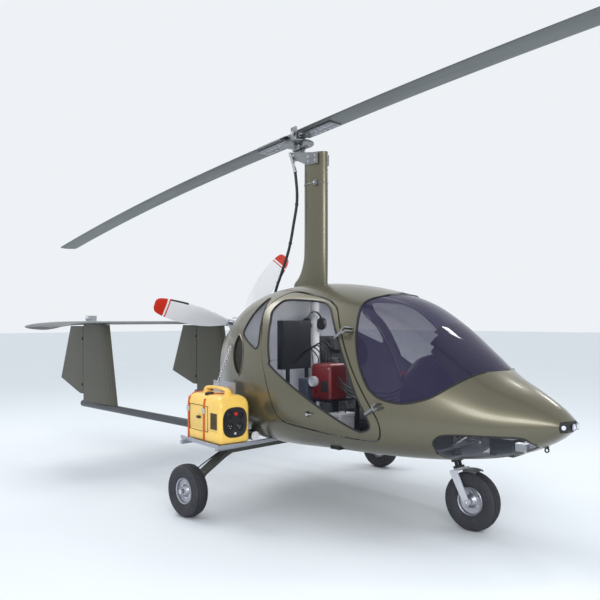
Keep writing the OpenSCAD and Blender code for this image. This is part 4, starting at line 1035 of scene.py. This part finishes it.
def wheel(name, centre, radius, width, rim_r, hub_half, hub_r, body, tyre_node, rim_node, out):
    """Ribbed tyre with sidewall rings, and a dished rim with bolts and a valve on its out side."""
    tyre = Shape()
    tyre.revolve(tyre_profile(radius, width, rim_r), centre, (0, 1, 0), TYRE, 112)
    for side in (-1, 1):
        for share in (0.42, 0.7):
            r = rim_r + (radius - rim_r) * share
            y = width / 2 * (0.995 if share < 0.5 else 0.965)
            a = circle(96)
            ring = np.array(centre) + np.column_stack([r * np.cos(a), np.full(96, side * y), r * np.sin(a)])
            tyre.tube(ring, 0.0014, TYRE, 6, closed=True)
    tyre.make(name + "_tyre", body, [tyre_node], angle=32)
    rim = Shape()
    face = width / 2 * 0.62
    dish = [(rim_r - 0.001, face), (rim_r - 0.006, face + 0.004), (rim_r - 0.012, face),
            (rim_r - 0.015, face * 0.55), (rim_r * 0.66, face * 0.42), (rim_r * 0.46, face * 0.5),
            (hub_r + 0.006, hub_half * 0.8), (hub_r, hub_half - 0.002), (hub_r - 0.004, hub_half),
            (0.0125, hub_half)]
    profile = dish + [(r, -w) for r, w in dish[::-1]]
    rim.revolve(profile, centre, (0, 1, 0), BRUSHED, 80)
    for side in (-1, 1):
        for k in range(6):
            a = math.pi * (k + 0.5) / 3
            r = rim_r * 0.56
            at = np.array(centre) + np.array([r * math.cos(a), side * (face * 0.445), r * math.sin(a)])
            rim.bolt(at, (0, side, 0), 0.0055, STEEL)
    a = math.radians(35)
    r = rim_r * 0.8
    at = np.array(centre) + np.array([r * math.cos(a), out * face * 0.47, r * math.sin(a)])
    rim.rod(at, at + np.array([0, out * 0.016, 0]), 0.003, DARK_METAL, 12)
    rim.make(name + "_rim", body, [rim_node], angle=32)


MAIN_RADIUS, MAIN_X, MAIN_Y = 0.1725, -0.01, 1.0
NOSE_RADIUS, NOSE_WHEEL_X = 0.1825, 1.541
GUARD_INNER, GUARD_OUTER = 0.1925, 0.1955


def wheels():
    """The three wheels, the brake callipers with their lines, and the nose wheel's guard and nuts."""
    for side, word in ((1, "left"), (-1, "right")):
        wheel("main_" + word, (MAIN_X, side * MAIN_Y, MAIN_RADIUS), MAIN_RADIUS, 0.104, 0.0897, 0.04, 0.026,
              "main_wheel_" + word, "main_tyre_" + word, "main_rim_" + word, side)
    wheel("nose", (NOSE_WHEEL_X, 0, NOSE_RADIUS), NOSE_RADIUS, 0.1, 0.09125, 0.034, 0.024,
          "nose_wheel", "nose_tyre", "nose_rim", -1)
    for side, word in ((1, "left"), (-1, "right")):
        brake = Shape()
        y = side * 0.9375
        brake.box((-0.092, y - 0.011, 0.150), (-0.052, y + 0.011, 0.196), DARK_METAL)
        brake.tube([(-0.08, y, 0.196), (-0.085, y - side * 0.02, 0.25), (-0.05, y - side * 0.07, 0.31),
                    (-0.04, y - side * 0.2, 0.375), (-0.04, y - side * 0.45, 0.404)], 0.004, RUBBER, 8)
        brake.make("brake_" + word, "airframe", bevel=0.002)
    guard = Shape()
    rings = []
    for angle in np.linspace(74, 103, 12):
        a = math.radians(angle)
        lip = [(-0.045, 0.01), (-0.04, 0), (0.04, 0), (0.045, 0.01)]
        ring = []
        for radius, row in ((GUARD_OUTER, lip), (GUARD_INNER, lip[::-1])):
            for y, drop in row:
                r = radius - drop
                ring.append((NOSE_WHEEL_X + math.cos(a) * r, y, NOSE_RADIUS + math.sin(a) * r))
        rings.append(np.array(ring))
    guard.loft(rings, TAIL_GREY)
    for side in (-1, 1):
        guard.bolt((NOSE_WHEEL_X, side * 0.082, NOSE_RADIUS), (0, side, 0), 0.012, STEEL, 0.009)
    guard.make("nose_wheel_guard", "nose_fork")


mast()
hose()
rotor()
propeller()
tail()
wheels()


# ---------------------------------------------------------------- generator
RACK = Matrix.Translation(Vector((0.27, -0.955, 0.476))) @ Matrix.Rotation(math.radians(-7.6), 4, "Z")


def generator():
    """Case with its handle, feet, control panel, vents and hatch, the straps and the tray bolts."""
    shape = Shape(np.array(RACK))
    low, high = 0.018, 0.323
    rings = [rounded_ring(-0.442, -0.008, 0.008, 0.217, 0.020, low)]
    for z in (low + 0.008, low + 0.07):
        rings.append(rounded_ring(-0.45, 0, 0, 0.225, 0.026, z))
    rings += [rounded_ring(-0.4475, -0.0025, 0.0025, 0.2225, 0.025, low + 0.073),
              rounded_ring(-0.4475, -0.0025, 0.0025, 0.2225, 0.025, low + 0.077),
              rounded_ring(-0.45, 0, 0, 0.225, 0.026, low + 0.08)]
    for below, inset in ((0.075, 0), (0.045, 0.004), (0.024, 0.014), (0.01, 0.03), (0, 0.052)):
        z = high - below
        rings.append(rounded_ring(-0.45 + inset, -inset, inset * 0.75, 0.225 - inset * 0.75, 0.026, z))
    shape.loft(rings, YELLOW)
    # handle: two legs and an arched grip
    for x in (-0.37, -0.09):
        leg = [rounded_ring(x - 0.019 + s, x + 0.019 - s, 0.094 + s, 0.131 - s, 0.008, z)
               for z, s in ((high - 0.02, -0.006), (high + 0.01, 0.0), (0.349, 0.002))]
        shape.loft(leg, YELLOW)
    arch = [(-0.385, 0.348), (-0.36, 0.3635), (-0.3, 0.3705), (-0.23, 0.3715), (-0.16, 0.3705),
            (-0.1, 0.3635), (-0.075, 0.348)]
    section = [(-0.017, -0.014), (-0.012, -0.0185), (0.012, -0.0185), (0.017, -0.014), (0.017, -0.003),
               (0.012, 0.002), (-0.012, 0.002), (-0.017, -0.003)]
    grip = []
    for x, z in smooth_loop(arch, closed=False):
        grip.append(np.array([(x, 0.1125 + dy, z + dz) for dy, dz in section]))
    shape.loft(grip, YELLOW)
    for x in (-0.4, -0.08):
        for y in (0.02, 0.165):
            shape.rounded_box((x, y, 0.0032), (x + 0.04, y + 0.04, low + 0.004), 0.012, RUBBER)
    # oval control panel on the front end
    a = circle(40)
    oval = np.column_stack([np.zeros(40), 0.1125 + 0.089 * np.sign(np.cos(a)) * np.abs(np.cos(a)) ** 0.7,
                            0.155 + 0.098 * np.sign(np.sin(a)) * np.abs(np.sin(a)) ** 0.7])
    middle = np.array([0, 0.1125, 0.155])
    rings = []
    for share, lift in ((1.0, -0.001), (1.0, 0.003), (0.965, 0.005), (0.93, 0.003), (0.5, 0.003)):
        rings.append(middle + (oval - middle) * share + np.array([lift, 0, 0]))
    shape.loft(rings, DARK_PLASTIC)
    sockets = ((0.075, 0.13), (0.145, 0.125))
    fittings = [(0.07, 0.205, 0.022, SCREEN), (0.118, 0.21, 0.0125, RED), (0.155, 0.2, 0.016, DARK_METAL)]
    fittings += [(y, z, 0.024, SCREEN) for y, z in sockets] + [(0.11, 0.085, 0.010, STEEL)]
    for y, z, r, look in fittings:
        knob = [(r, 0), (r, 0.004), (r * 0.85, 0.0065), (r * 0.8, 0.003), (0.0005, 0.003)]
        shape.revolve(knob, (0.003, y, z), (1, 0, 0), look, 28, closed=False)
    for y, z in sockets:
        for dy, dz in ((-0.008, 0.004), (0.008, 0.004), (0, -0.009)):
            shape.rod((0.004, y + dy, z + dz), (0.0075, y + dy, z + dz), 0.0027, STEEL, 10)
    # vents on the outboard side and a service hatch line
    for k in range(9):
        x = -0.115 + k * 0.0095
        shape.box((x, -0.0022, 0.11), (x + 0.0045, 0.0006, 0.215), DARK_PLASTIC)
    hatch = [(-0.40, 0.10), (-0.40, 0.235), (-0.385, 0.25), (-0.17, 0.25), (-0.155, 0.235), (-0.155, 0.10),
             (-0.17, 0.085), (-0.385, 0.085)]
    line = [(x, -0.0002, z) for x, z in smooth_loop(hatch, steps=4)]
    shape.tube(line, 0.0022, DARK_PLASTIC, 6, closed=True)
    # round fuel cap on the top
    cap = [(0.03, 0), (0.03, 0.012), (0.024, 0.018), (0.0005, 0.018)]
    shape.revolve(cap, (-0.23, 0.055, high - 0.004), (0, 0, 1), DARK_PLASTIC, 28, closed=False)
    # pull starter grip on the outboard side
    shape.rounded_box((-0.292, -0.012, 0.165), (-0.248, 0.002, 0.18), 0.004, DARK_PLASTIC)
    shape.make("generator_case", "airframe", ["generator"], angle=40)
    straps = Shape(np.array(RACK))
    wide, thick = 0.024, 0.0022
    edge = [(-0.0012, 0.004), (-0.0012, high - 0.075), (0.006, high - 0.03), (0.05, high + 0.0015),
            (0.175, high + 0.0015), (0.22, high - 0.03), (0.2262, high - 0.075), (0.2262, 0.004)]
    line = smooth_loop(edge, {0, 1, 3, 4, 6, 7}, closed=False)
    for x in (-0.43, -0.215):
        rings = []
        for y, z in line:
            out = unit(np.array([y - 0.1125, z - 0.16]))
            y2, z2 = y + out[0] * thick, z + out[1] * thick
            rings.append(np.array([(x, y, z), (x + wide, y, z), (x + wide, y2, z2), (x, y2, z2)]))
        straps.loft(rings, STRAP)
        straps.box((x - 0.006, -0.008, 0.2), (x + wide + 0.006, -0.0005, 0.235), STEEL)
    straps.make("generator_straps", "airframe", angle=30)
    frame_bolts = Shape()
    for x in (-0.1575, 0.2275):
        for y in (-0.94, -0.8, -0.72):
            frame_bolts.bolt((x, y, 0.4795), (0, 0, 1), 0.005, STEEL)
    frame_bolts.make("tray_bolts", "airframe")


# ---------------------------------------------------------------- cabin
FLOOR_Z, SEAT_Y, RACK_Y = 0.468, 0.27, -0.38


def back_face(height):
    """Position along the body of the seat back at a height above the floor."""
    return 0.33 - 0.19 * (height - 0.066) / 0.634


def pillow(name, corners, inflate, limit):
    """Cushion from a block of eight corners, blown up by a cloth pass and capped."""
    mesh = bpy.data.meshes.new(name)
    faces = [(0, 3, 2, 1), (4, 5, 6, 7), (0, 1, 5, 4), (1, 2, 6, 5), (2, 3, 7, 6), (3, 0, 4, 7)]
    mesh.from_pydata(corners, [], faces)
    obj = link(name, mesh)
    rework(mesh, lambda work: bmesh.ops.bevel(work, geom=work.edges[:], offset=0.014, segments=3,
                                              affect="EDGES"))
    remesh = obj.modifiers.new("grid", "REMESH")
    remesh.mode = "VOXEL"
    remesh.voxel_size = 0.006
    bake(obj)
    start = positions(obj)
    cloth = obj.modifiers.new("cloth", "CLOTH")
    cloth.settings.quality = 6
    cloth.settings.mass = 0.3
    cloth.settings.tension_stiffness = 25
    cloth.settings.compression_stiffness = 25
    cloth.settings.bending_stiffness = 4
    cloth.settings.use_pressure = True
    cloth.settings.uniform_pressure_force = inflate
    cloth.settings.effector_weights.gravity = 0
    for number in range(1, 21):
        bpy.context.scene.frame_set(number)
    bake(obj)
    bpy.context.scene.frame_set(1)
    moved = positions(obj) - start
    far = np.linalg.norm(moved, axis=1)
    moved *= np.minimum(1, limit / np.maximum(far, 1e-9))[:, None]
    obj.data.vertices.foreach_set("co", (start + moved).ravel())
    return obj


def positions(obj):
    """Points of an object's mesh as an array."""
    out = np.zeros(len(obj.data.vertices) * 3)
    obj.data.vertices.foreach_get("co", out)
    return out.reshape(-1, 3)


def press_seams(obj, lines, wide=0.009, deep=0.006):
    """Sinks the surface along straight seams given as (point, direction of the plane's normal)."""
    p = positions(obj)
    centre = p.mean(axis=0)
    for point, normal in lines:
        n = unit(np.array(normal, float))
        near = np.exp(-((p - np.array(point)) @ n / wide) ** 2)
        inward = centre - p
        inward /= np.maximum(np.linalg.norm(inward, axis=1), 1e-6)[:, None]
        p = p + inward * (near * deep)[:, None]
    obj.data.vertices.foreach_set("co", p.ravel())


def cushion(name, corners, seams, limit=0.02):
    """Padded seat piece with pressed seams and its fabric."""
    obj = pillow(name, corners, 4.0, limit)
    press_seams(obj, seams)
    obj.data.materials.clear()
    obj.data.materials.append(SEAT_FABRIC.material)
    obj.data.shade_smooth()
    more = obj.modifiers.new("smooth", "SUBSURF")
    more.levels = more.render_levels = 1
    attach(obj, "airframe")
    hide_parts("seat_cushions")


def block_corners(levels, half):
    """Eight corners of a block at the seat, from two levels given as (rear x, front x, height)."""
    out = []
    low, high = SEAT_Y - half, SEAT_Y + half
    for rear, front, z in levels:
        out += [(rear, low, z), (front, low, z), (front, high, z), (rear, high, z)]
    return out


def back_corners(low, high, half, thick):
    """Corners of a block that leans on the seat back, between two heights above the floor."""
    rears = [back_face(h) + 0.004 for h in (low, high)]
    return block_corners([(x, x + thick, FLOOR_Z + h) for x, h in zip(rears, (low, high))], half)


def seats():
    """Cushions of the pilot's seat, and the lap and shoulder belts that lie on them."""
    along, across, level = (0, 1, 0), (1, 0, 0), (0, 0, 1)
    cushion("seat_cushion", block_corners([(0.392, 0.748, 0.5575), (0.392, 0.748, 0.616)], 0.182),
            [((0, SEAT_Y - 0.105, 0), along), ((0, SEAT_Y + 0.105, 0), along), ((0.64, 0, 0), across)])
    cushion("back_cushion", back_corners(0.1, 0.552, 0.174, 0.045),
            [((0, SEAT_Y - 0.1, 0), along), ((0, SEAT_Y + 0.1, 0), along), ((0, 0, FLOOR_Z + 0.3), level)])
    cushion("head_cushion", back_corners(0.594, 0.694, 0.112, 0.05), [((0, SEAT_Y, 0), along)], 0.012)
    belts = Shape()
    belt_width = 0.046
    for side in (-1, 1):
        y = SEAT_Y + side * 0.075
        shoulder = [(back_face(h) + 0.074, y, FLOOR_Z + h) for h in np.linspace(0.56, 0.2, 10)]
        lap = [(0.44, SEAT_Y + side * s, 0.645 - 0.02 * abs(s - 0.1)) for s in np.linspace(0.19, 0.04, 8)]
        ribbon(belts, shoulder, (0, 1, 0), belt_width)
        ribbon(belts, lap, (1, 0, 0), belt_width)
    belts.box((0.415, SEAT_Y - 0.032, 0.641), (0.465, SEAT_Y + 0.032, 0.654), STEEL)
    belts.make("seat_belts", "airframe", bevel=0.0008)


def ribbon(shape, points, across, width, thick=0.002):
    """Flat webbing along a path."""
    points = np.array(points, float)
    w = np.array(across, float) * width / 2
    rings = []
    for k, p in enumerate(points):
        ahead = points[min(k + 1, len(points) - 1)] - points[max(k - 1, 0)]
        up = np.cross(ahead, w)
        up *= thick / 2 / np.linalg.norm(up)
        rings.append(np.array([p - w - up, p + w - up, p + w + up, p - w + up]))
    shape.loft(rings, RUBBER)


def panel_height(y):
    """Share of the binnacle's full height at a distance from the middle."""
    return float(curve([(0, 1), (.15, .93), (.28, .62), (.33, .3)], abs(y)))


def instruments():
    """Binnacle with its dials, switches and display, and the looms that leave it."""
    shape = Shape()
    z0 = FLOOR_Z + 0.19
    rings = []
    for y in np.concatenate([[-0.33, -0.325], np.linspace(-0.31, 0.31, 27), [0.325, 0.33]]):
        h = panel_height(y) * (0.97 if abs(y) > 0.328 else 1)
        edge = [(1.23, 0, 0), (1.23, 0.112, 0.29), (1.2335, 0.119, 0.29), (1.25, 0.122, 0.292),
                (1.3, 0.127, 0.3), (1.36, 0.126, 0.268), (1.42, 0.114, 0.22), (1.452, 0.075, 0.11),
                (1.475, 0.025, 0), (1.47, 0, 0)]
        rings.append(np.array([(x, y, z0 + base + rise * h) for x, base, rise in edge]))
    shape.loft(rings, DARK_PLASTIC)
    shape.box((1.235, -0.1, 0.4765), (1.34, 0.1, z0 + 0.001), DARK_PLASTIC)
    shape.make("instrument_binnacle", "airframe", ["instrument_panel"], bevel=0.003, angle=40)
    dials = Shape()
    front = 1.2295
    for y, z, r in ((-0.12, 0.98, 0.038), (0.0, 1.0, 0.038), (0.12, 0.98, 0.038), (-0.19, 0.9, 0.03),
                    (0.19, 0.9, 0.03), (-0.06, 0.9, 0.03), (0.06, 0.9, 0.03), (-0.12, 0.82, 0.026),
                    (0.12, 0.82, 0.026), (0.0, 0.82, 0.026)):
        bezel = [(r, 0), (r, 0.006), (r * 0.9, 0.008), (r * 0.86, 0.003), (0.0005, 0.003)]
        face = [(r * 0.85, 0.0032), (r * 0.85, 0.0036), (0.0005, 0.0036)]
        for profile, look in ((bezel, DARK_METAL), (face, SCREEN)):
            dials.revolve(profile, (front, y, z), (-1, 0, 0), look, 36, closed=False)
        for k in range(9):
            a = math.radians(-120 + 30 * k)
            p = np.array([front - 0.0038, y + math.sin(a) * r * 0.68, z + math.cos(a) * r * 0.68])
            dials.rod(p, p - np.array([0.0008, 0, 0]), 0.0016, WHITE, 6)
    for k in range(7):
        y = -0.09 + 0.03 * k
        dials.rod((front, y, 0.755), (1.217, y, 0.758), 0.0035, STEEL, 10)
    dials.box((1.214, -0.3, 0.79), (front, -0.215, 0.85), SCREEN)
    # loose looms between the panel and the equipment rack
    for lift in (0.0, 0.022, 0.045):
        loom = [(1.24, -0.3, 0.84 + lift), (1.17, -0.36, 0.8 + lift), (1.05, -0.42, 0.79 + lift * 1.4),
                (0.93, -0.43, 0.81 + lift), (0.83, -0.41, 0.85 + lift), (0.785, -0.4, 0.86 + lift * 1.5)]
        dials.cable(loom, 0.0055, RUBBER)
    dials.make("panel_dials", "airframe")


def equipment():
    """Observation unit, its screen, the headset on its hook and the low case by the door."""
    housing = Shape()
    x0, x1, y0, y1 = 0.6, 0.78, RACK_Y - 0.09, RACK_Y + 0.08
    z0, z1 = FLOOR_Z + 0.3115, FLOOR_Z + 0.54
    rings = []
    for z, inset in ((z0, 0.004), (z0 + 0.006, 0), (z1 - 0.02, 0), (z1 - 0.006, 0.006), (z1, 0.016)):
        rings.append(rounded_ring(x0 + inset, x1 - inset, y0 + inset, y1 - inset, 0.022, z))
    housing.loft(rings, RED_UNIT)
    centre = (0.64, RACK_Y - 0.088, FLOOR_Z + 0.425)
    hood = [(0.034, 0), (0.034, 0.024), (0.031, 0.031), (0.026, 0.031), (0.024, 0.012), (0.0005, 0.010)]
    front_lens = [(0.0235, 0.011), (0.018, 0.017), (0.009, 0.0205), (0.0005, 0.0215)]
    housing.revolve(hood, centre, (0, -1, 0), PALE_BOX, 48, closed=False)
    housing.revolve(front_lens, centre, (0, -1, 0), LENS, 40, closed=False)
    for x, z in ((0.615, 0.8), (0.765, 0.8), (0.615, 0.98), (0.765, 0.98)):
        housing.bolt((x, y0 + 0.001, z), (0, -1, 0), 0.004, STEEL)
    housing.box((0.70, y0 - 0.004, 0.83), (0.757, y0 + 0.001, 0.9), DARK_PLASTIC)
    housing.make("sensor_housing", "airframe", ["sensor_unit"], angle=36)
    extra = Shape()
    extra.box((0.3755, RACK_Y - 0.131, 0.964), (0.3785, RACK_Y + 0.131, 1.283), SCREEN)
    extra.rounded_box((0.50, RACK_Y - 0.105, 0.7795), (0.585, RACK_Y - 0.02, 0.905), 0.008, BOX_BLUE)
    extra.box((0.80, -0.49, 0.4765), (0.88, -0.37, 0.558), DARK_METAL)
    extra.rounded_box((0.79, -0.5, 0.558), (0.895, -0.36, 0.68), 0.016, PALE_BOX)
    extra.rounded_box((0.787, -0.503, 0.682), (0.898, -0.357, 0.702), 0.017, PALE_BOX)
    extra.tube([(0.81, -0.43, 0.701), (0.812, -0.43, 0.722), (0.843, -0.43, 0.728), (0.873, -0.43, 0.722),
                (0.875, -0.43, 0.701)], 0.005, DARK_PLASTIC, 10)
    for k in range(5):
        y = RACK_Y - 0.06 + 0.03 * k
        arc = [(0.64, y, 1.0), (0.64, y, 1.05 + 0.014 * k), (0.58, y - 0.01, 1.1 + 0.012 * k),
               (0.48, y + 0.01, 1.07 + 0.01 * k), (0.40, y + 0.02, 1.0 + 0.02 * k),
               (0.378, y + 0.02, 0.99 + 0.02 * k)]
        extra.cable(arc, 0.0045, RUBBER)
    extra.make("cabin_equipment", "airframe", bevel=0.002)
    head = Shape()
    y0 = -0.07
    band = [(0.24, y0 + 0.075 * math.cos(a), 1.27 + 0.085 * math.sin(a)) for a in np.linspace(0, math.pi, 18)]
    head.tube(band, 0.007, DARK_PLASTIC, 8)
    for side in (-1, 1):
        centre, axis = (0.24, y0 + side * 0.06, 1.265), (0, side, 0)
        shell = [(0.04, 0), (0.046, 0.01), (0.046, 0.024), (0.034, 0.036), (0.0005, 0.038)]
        trim = [(0.0475, 0.011), (0.0475, 0.015), (0.045, 0.015), (0.045, 0.011)]
        head.revolve(shell, centre, axis, DARK_PLASTIC, 32, closed=False)
        head.revolve(trim, centre, axis, STEEL, 32)
    head.rod((0.2, y0, 1.354), (0.25, y0, 1.354), 0.005, STEEL, 12)
    lead = [(0.24, y0 - 0.07, 1.225), (0.25, y0 - 0.07, 1.17), (0.26, y0 - 0.05, 1.08),
            (0.25, y0 - 0.02, 0.95), (0.24, y0, 0.86)]
    head.tube(lead, 0.003, RUBBER, 8)
    head.make("headset", "airframe")
    grips = Shape()
    grips.rod((0.8065, SEAT_Y, 0.9), (0.8045, SEAT_Y, 0.925), 0.012, RED, 20)
    grips.make("stick_button", "airframe")


def quilting():
    """Seams and studs of the padded wall behind the cabin."""
    shape = Shape()
    for y in (-0.42, -0.21, 0.21, 0.42):
        shape.box((0.0318, y - 0.0035, 0.56), (0.0345, y + 0.0035, 1.36 - 0.25 * abs(y)), ALUMINIUM)
    for z in (0.75, 1.0):
        shape.box((0.0318, -0.5, z - 0.0035), (0.0345, 0.5, z + 0.0035), ALUMINIUM)
    for y in (-0.42, -0.21, 0.0, 0.21, 0.42):
        for z in (0.62, 0.87, 1.12):
            shape.rod((0.0318, y, z), (0.036, y, z), 0.006, STEEL, 14)
    shape.make("wall_seams", "airframe")


def engine_dressing():
    """Fins, exhaust stubs and hoses round the plain engine block."""
    shape = Shape()
    for x in (-0.44, -0.24):
        for side in (-1, 1):
            for k in range(6):
                y = side * (0.158 + 0.018 * k)
                shape.rod((x, y, 1.12), (x, y + side * 0.004, 1.12), 0.0765, CASTING, 40)
            pipe = [(x, side * 0.2, 1.055), (x - 0.01, side * 0.205, 0.99), (x - 0.05, side * 0.18, 0.93),
                    (x - 0.12, side * 0.12, 0.915)]
            shape.cable(pipe, 0.018, DARK_METAL, 16)
    for side in (-1, 1):
        intake = [(-0.15, side * 0.09, 1.225), (-0.12, side * 0.1, 1.265), (-0.02, side * 0.12, 1.25),
                  (0.025, side * 0.13, 1.2)]
        shape.cable(intake, 0.014, RUBBER, 14)
    shape.box((-0.5, -0.06, 1.2285), (-0.2, 0.06, 1.262), DARK_PLASTIC)
    shape.make("engine_details", "airframe", bevel=0.001)


LAMP_Z = 0.706


def lamps():
    """Round lamps on the face of the nose recess and a smaller one on each side."""
    shape = Shape()
    for y in (-0.0225, 0.0225):
        bowl = [(0.0195, 0), (0.0195, 0.004), (0.0165, 0.0055), (0.0155, 0.003), (0.0005, 0.003)]
        lens = [(0.0152, 0.003), (0.011, 0.0062), (0.006, 0.0075), (0.0005, 0.008)]
        for profile, look in ((bowl, ALUMINIUM), (lens, LENS)):
            shape.revolve(profile, (2.1965, y, LAMP_Z), (1, 0, 0), look, 36, closed=False)
    for side in (-1, 1):
        at = on_skin(2.168, LAMP_Z, side, -0.0025)
        small = [(0.0125, 0), (0.0125, 0.0035), (0.0095, 0.005), (0.0005, 0.007)]
        shape.revolve(small, at, outward(at), LENS, 28, closed=False)
    shape.make("nose_lamp_units", "airframe")


def nose_bay():
    """Rods, a battery and looms that show through the chin windows."""
    shape = Shape()
    shape.rounded_box((1.70, -0.075, 0.5), (1.86, 0.075, 0.6), 0.01, DARK_PLASTIC)
    shape.rounded_box((1.698, -0.077, 0.601), (1.862, 0.077, 0.615), 0.011, PALE_BOX)
    for side in (-1, 1):
        shape.rod((1.50, side * 0.06, 0.565), (1.68, side * 0.14, 0.575), 0.008, ALUMINIUM, 16)
        shape.rod((1.5, side * 0.16, 0.54), (1.62, side * 0.16, 0.62), 0.01, STEEL, 16)
        loom = [(1.55, side * 0.2, 0.60), (1.66, side * 0.17, 0.635), (1.8, side * 0.12, 0.645),
                (1.95, side * 0.08, 0.66)]
        shape.cable(loom, 0.006, RUBBER)
        y = side * 0.075
        shape.rounded_box((1.88, y - 0.025, 0.545), (1.95, y + 0.025, 0.59), 0.008, PALE_BOX)
    shape.make("nose_bay_equipment", "airframe", bevel=0.0015)


def chain():
    """Oval links from the skin down to the generator handle."""
    low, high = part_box("tie_down_chain")
    top_x, inset = -0.08, 0.006
    top = np.array([top_x, -skin_y(top_x, 1.115) - 0.005, 1.109])
    foot_x = high[0] - inset if abs(high[0] - top_x) > abs(low[0] - top_x) else low[0] + inset
    foot = np.array([foot_x, low[1] + inset, low[2] + inset])
    reach = foot - top
    length = np.linalg.norm(reach)
    d, u, v = side_axes(reach)
    pitch, half_long, half_wide, wire = 0.0225, 0.0148, 0.0085, 0.0024
    count = int(length / pitch)
    turn = circle(18)
    shape = Shape()
    for k in range(count):
        across = u if k % 2 else v
        centre = top + d * (length * (k + 0.5) / count)
        loop = (centre + np.outer(np.sign(np.cos(turn)) * np.abs(np.cos(turn)) ** 0.75 * half_long, d)
                + np.outer(np.sin(turn) * half_wide, across))
        shape.tube(loop, wire, STEEL, 8, closed=True)
    shape.make("chain_links", "airframe", ["tie_down_chain"])


generator()
seats()
instruments()
equipment()
quilting()
engine_dressing()
lamps()
nose_bay()
chain()


# ---------------------------------------------------------------- floor, light and camera
def area_light(name, at, aim, size, power, colour, size_y=None):
    """Soft rectangular lamp that points at aim."""
    light = bpy.data.lights.new(name, "AREA")
    light.shape = "RECTANGLE"
    light.size, light.size_y = size, size_y or size
    light.energy = power
    light.color = colour
    obj = link(name, light)
    obj.location = at
    obj.rotation_euler = (Vector(aim) - Vector(at)).to_track_quat("-Z", "Y").to_euler()


FLOOR = Look("studio_floor", srgb(228, 233, 238), 0.8, vary=0.01, patch=0.6, grain=60, bump=0.02)
FLOOR.set(specular_ior_level=0.2)
REACH = 60
floor_mesh = bpy.data.meshes.new("floor")
floor_mesh.from_pydata([(-REACH, -REACH, 0), (REACH, -REACH, 0), (REACH, REACH, 0), (-REACH, REACH, 0)], [],
                       [(0, 1, 2, 3)])
floor_mesh.materials.append(FLOOR.material)
link("floor", floor_mesh)

world = bpy.data.worlds.new("studio")
world.use_nodes = True
sky = world.node_tree.nodes["Background"]
sky.inputs["Color"].default_value = (0.93, 0.965, 1.0, 1)
sky.inputs["Strength"].default_value = 0.92
bpy.context.scene.world = world

CENTRE = Vector((0.6, -0.2, 0.9))
RIGHT, AHEAD = Vector((0.7455, 0.6665, 0)), Vector((-0.6665, 0.7455, 0))
KEY_AT = CENTRE - 3.6 * RIGHT + 2.6 * AHEAD + Vector((0, 0, 5.2))
SIDE_AT = CENTRE - 5.6 * AHEAD + 0.8 * RIGHT + Vector((0, 0, 2.1))
WARM, NEUTRAL, COOL = (1.0, 0.98, 0.95), (1.0, 1.0, 1.0), (0.97, 0.98, 1.0)
area_light("key", KEY_AT, CENTRE, 3.0, 145, WARM)
area_light("side_band", SIDE_AT, CENTRE, 3.0, 105, NEUTRAL, 1.2)
area_light("nose_streak", (2.1, 3.4, 3.2), (1.9, 0, 0.8), 0.6, 12, NEUTRAL, 0.16)
area_light("nose_spot", (1.7, 3.0, 5.2), (1.8, 0, 0.9), 0.55, 30, NEUTRAL)
area_light("nose_bay_fill", (1.75, 0.0, 0.84), (1.75, 0.0, 0.5), 0.25, 2.5, COOL, 0.2)
area_light("cabin_fill", (0.62, 0.0, 1.44), (0.5, 0.0, 0.6), 0.5, 5, COOL, 0.3)

camera_data = bpy.data.cameras.new("camera")
camera_data.sensor_width = 36
camera_data.lens = 40.2
camera_data.shift_x, camera_data.shift_y = -0.0833, 0.0317
camera_data.clip_end = 200
camera = link("camera", camera_data)
camera.location = (3.73, -3.58, 1.30)
camera.rotation_euler = AHEAD.to_track_quat("-Z", "Y").to_euler()
bpy.context.scene.camera = camera
bpy.context.scene.view_settings.view_transform = "Standard"
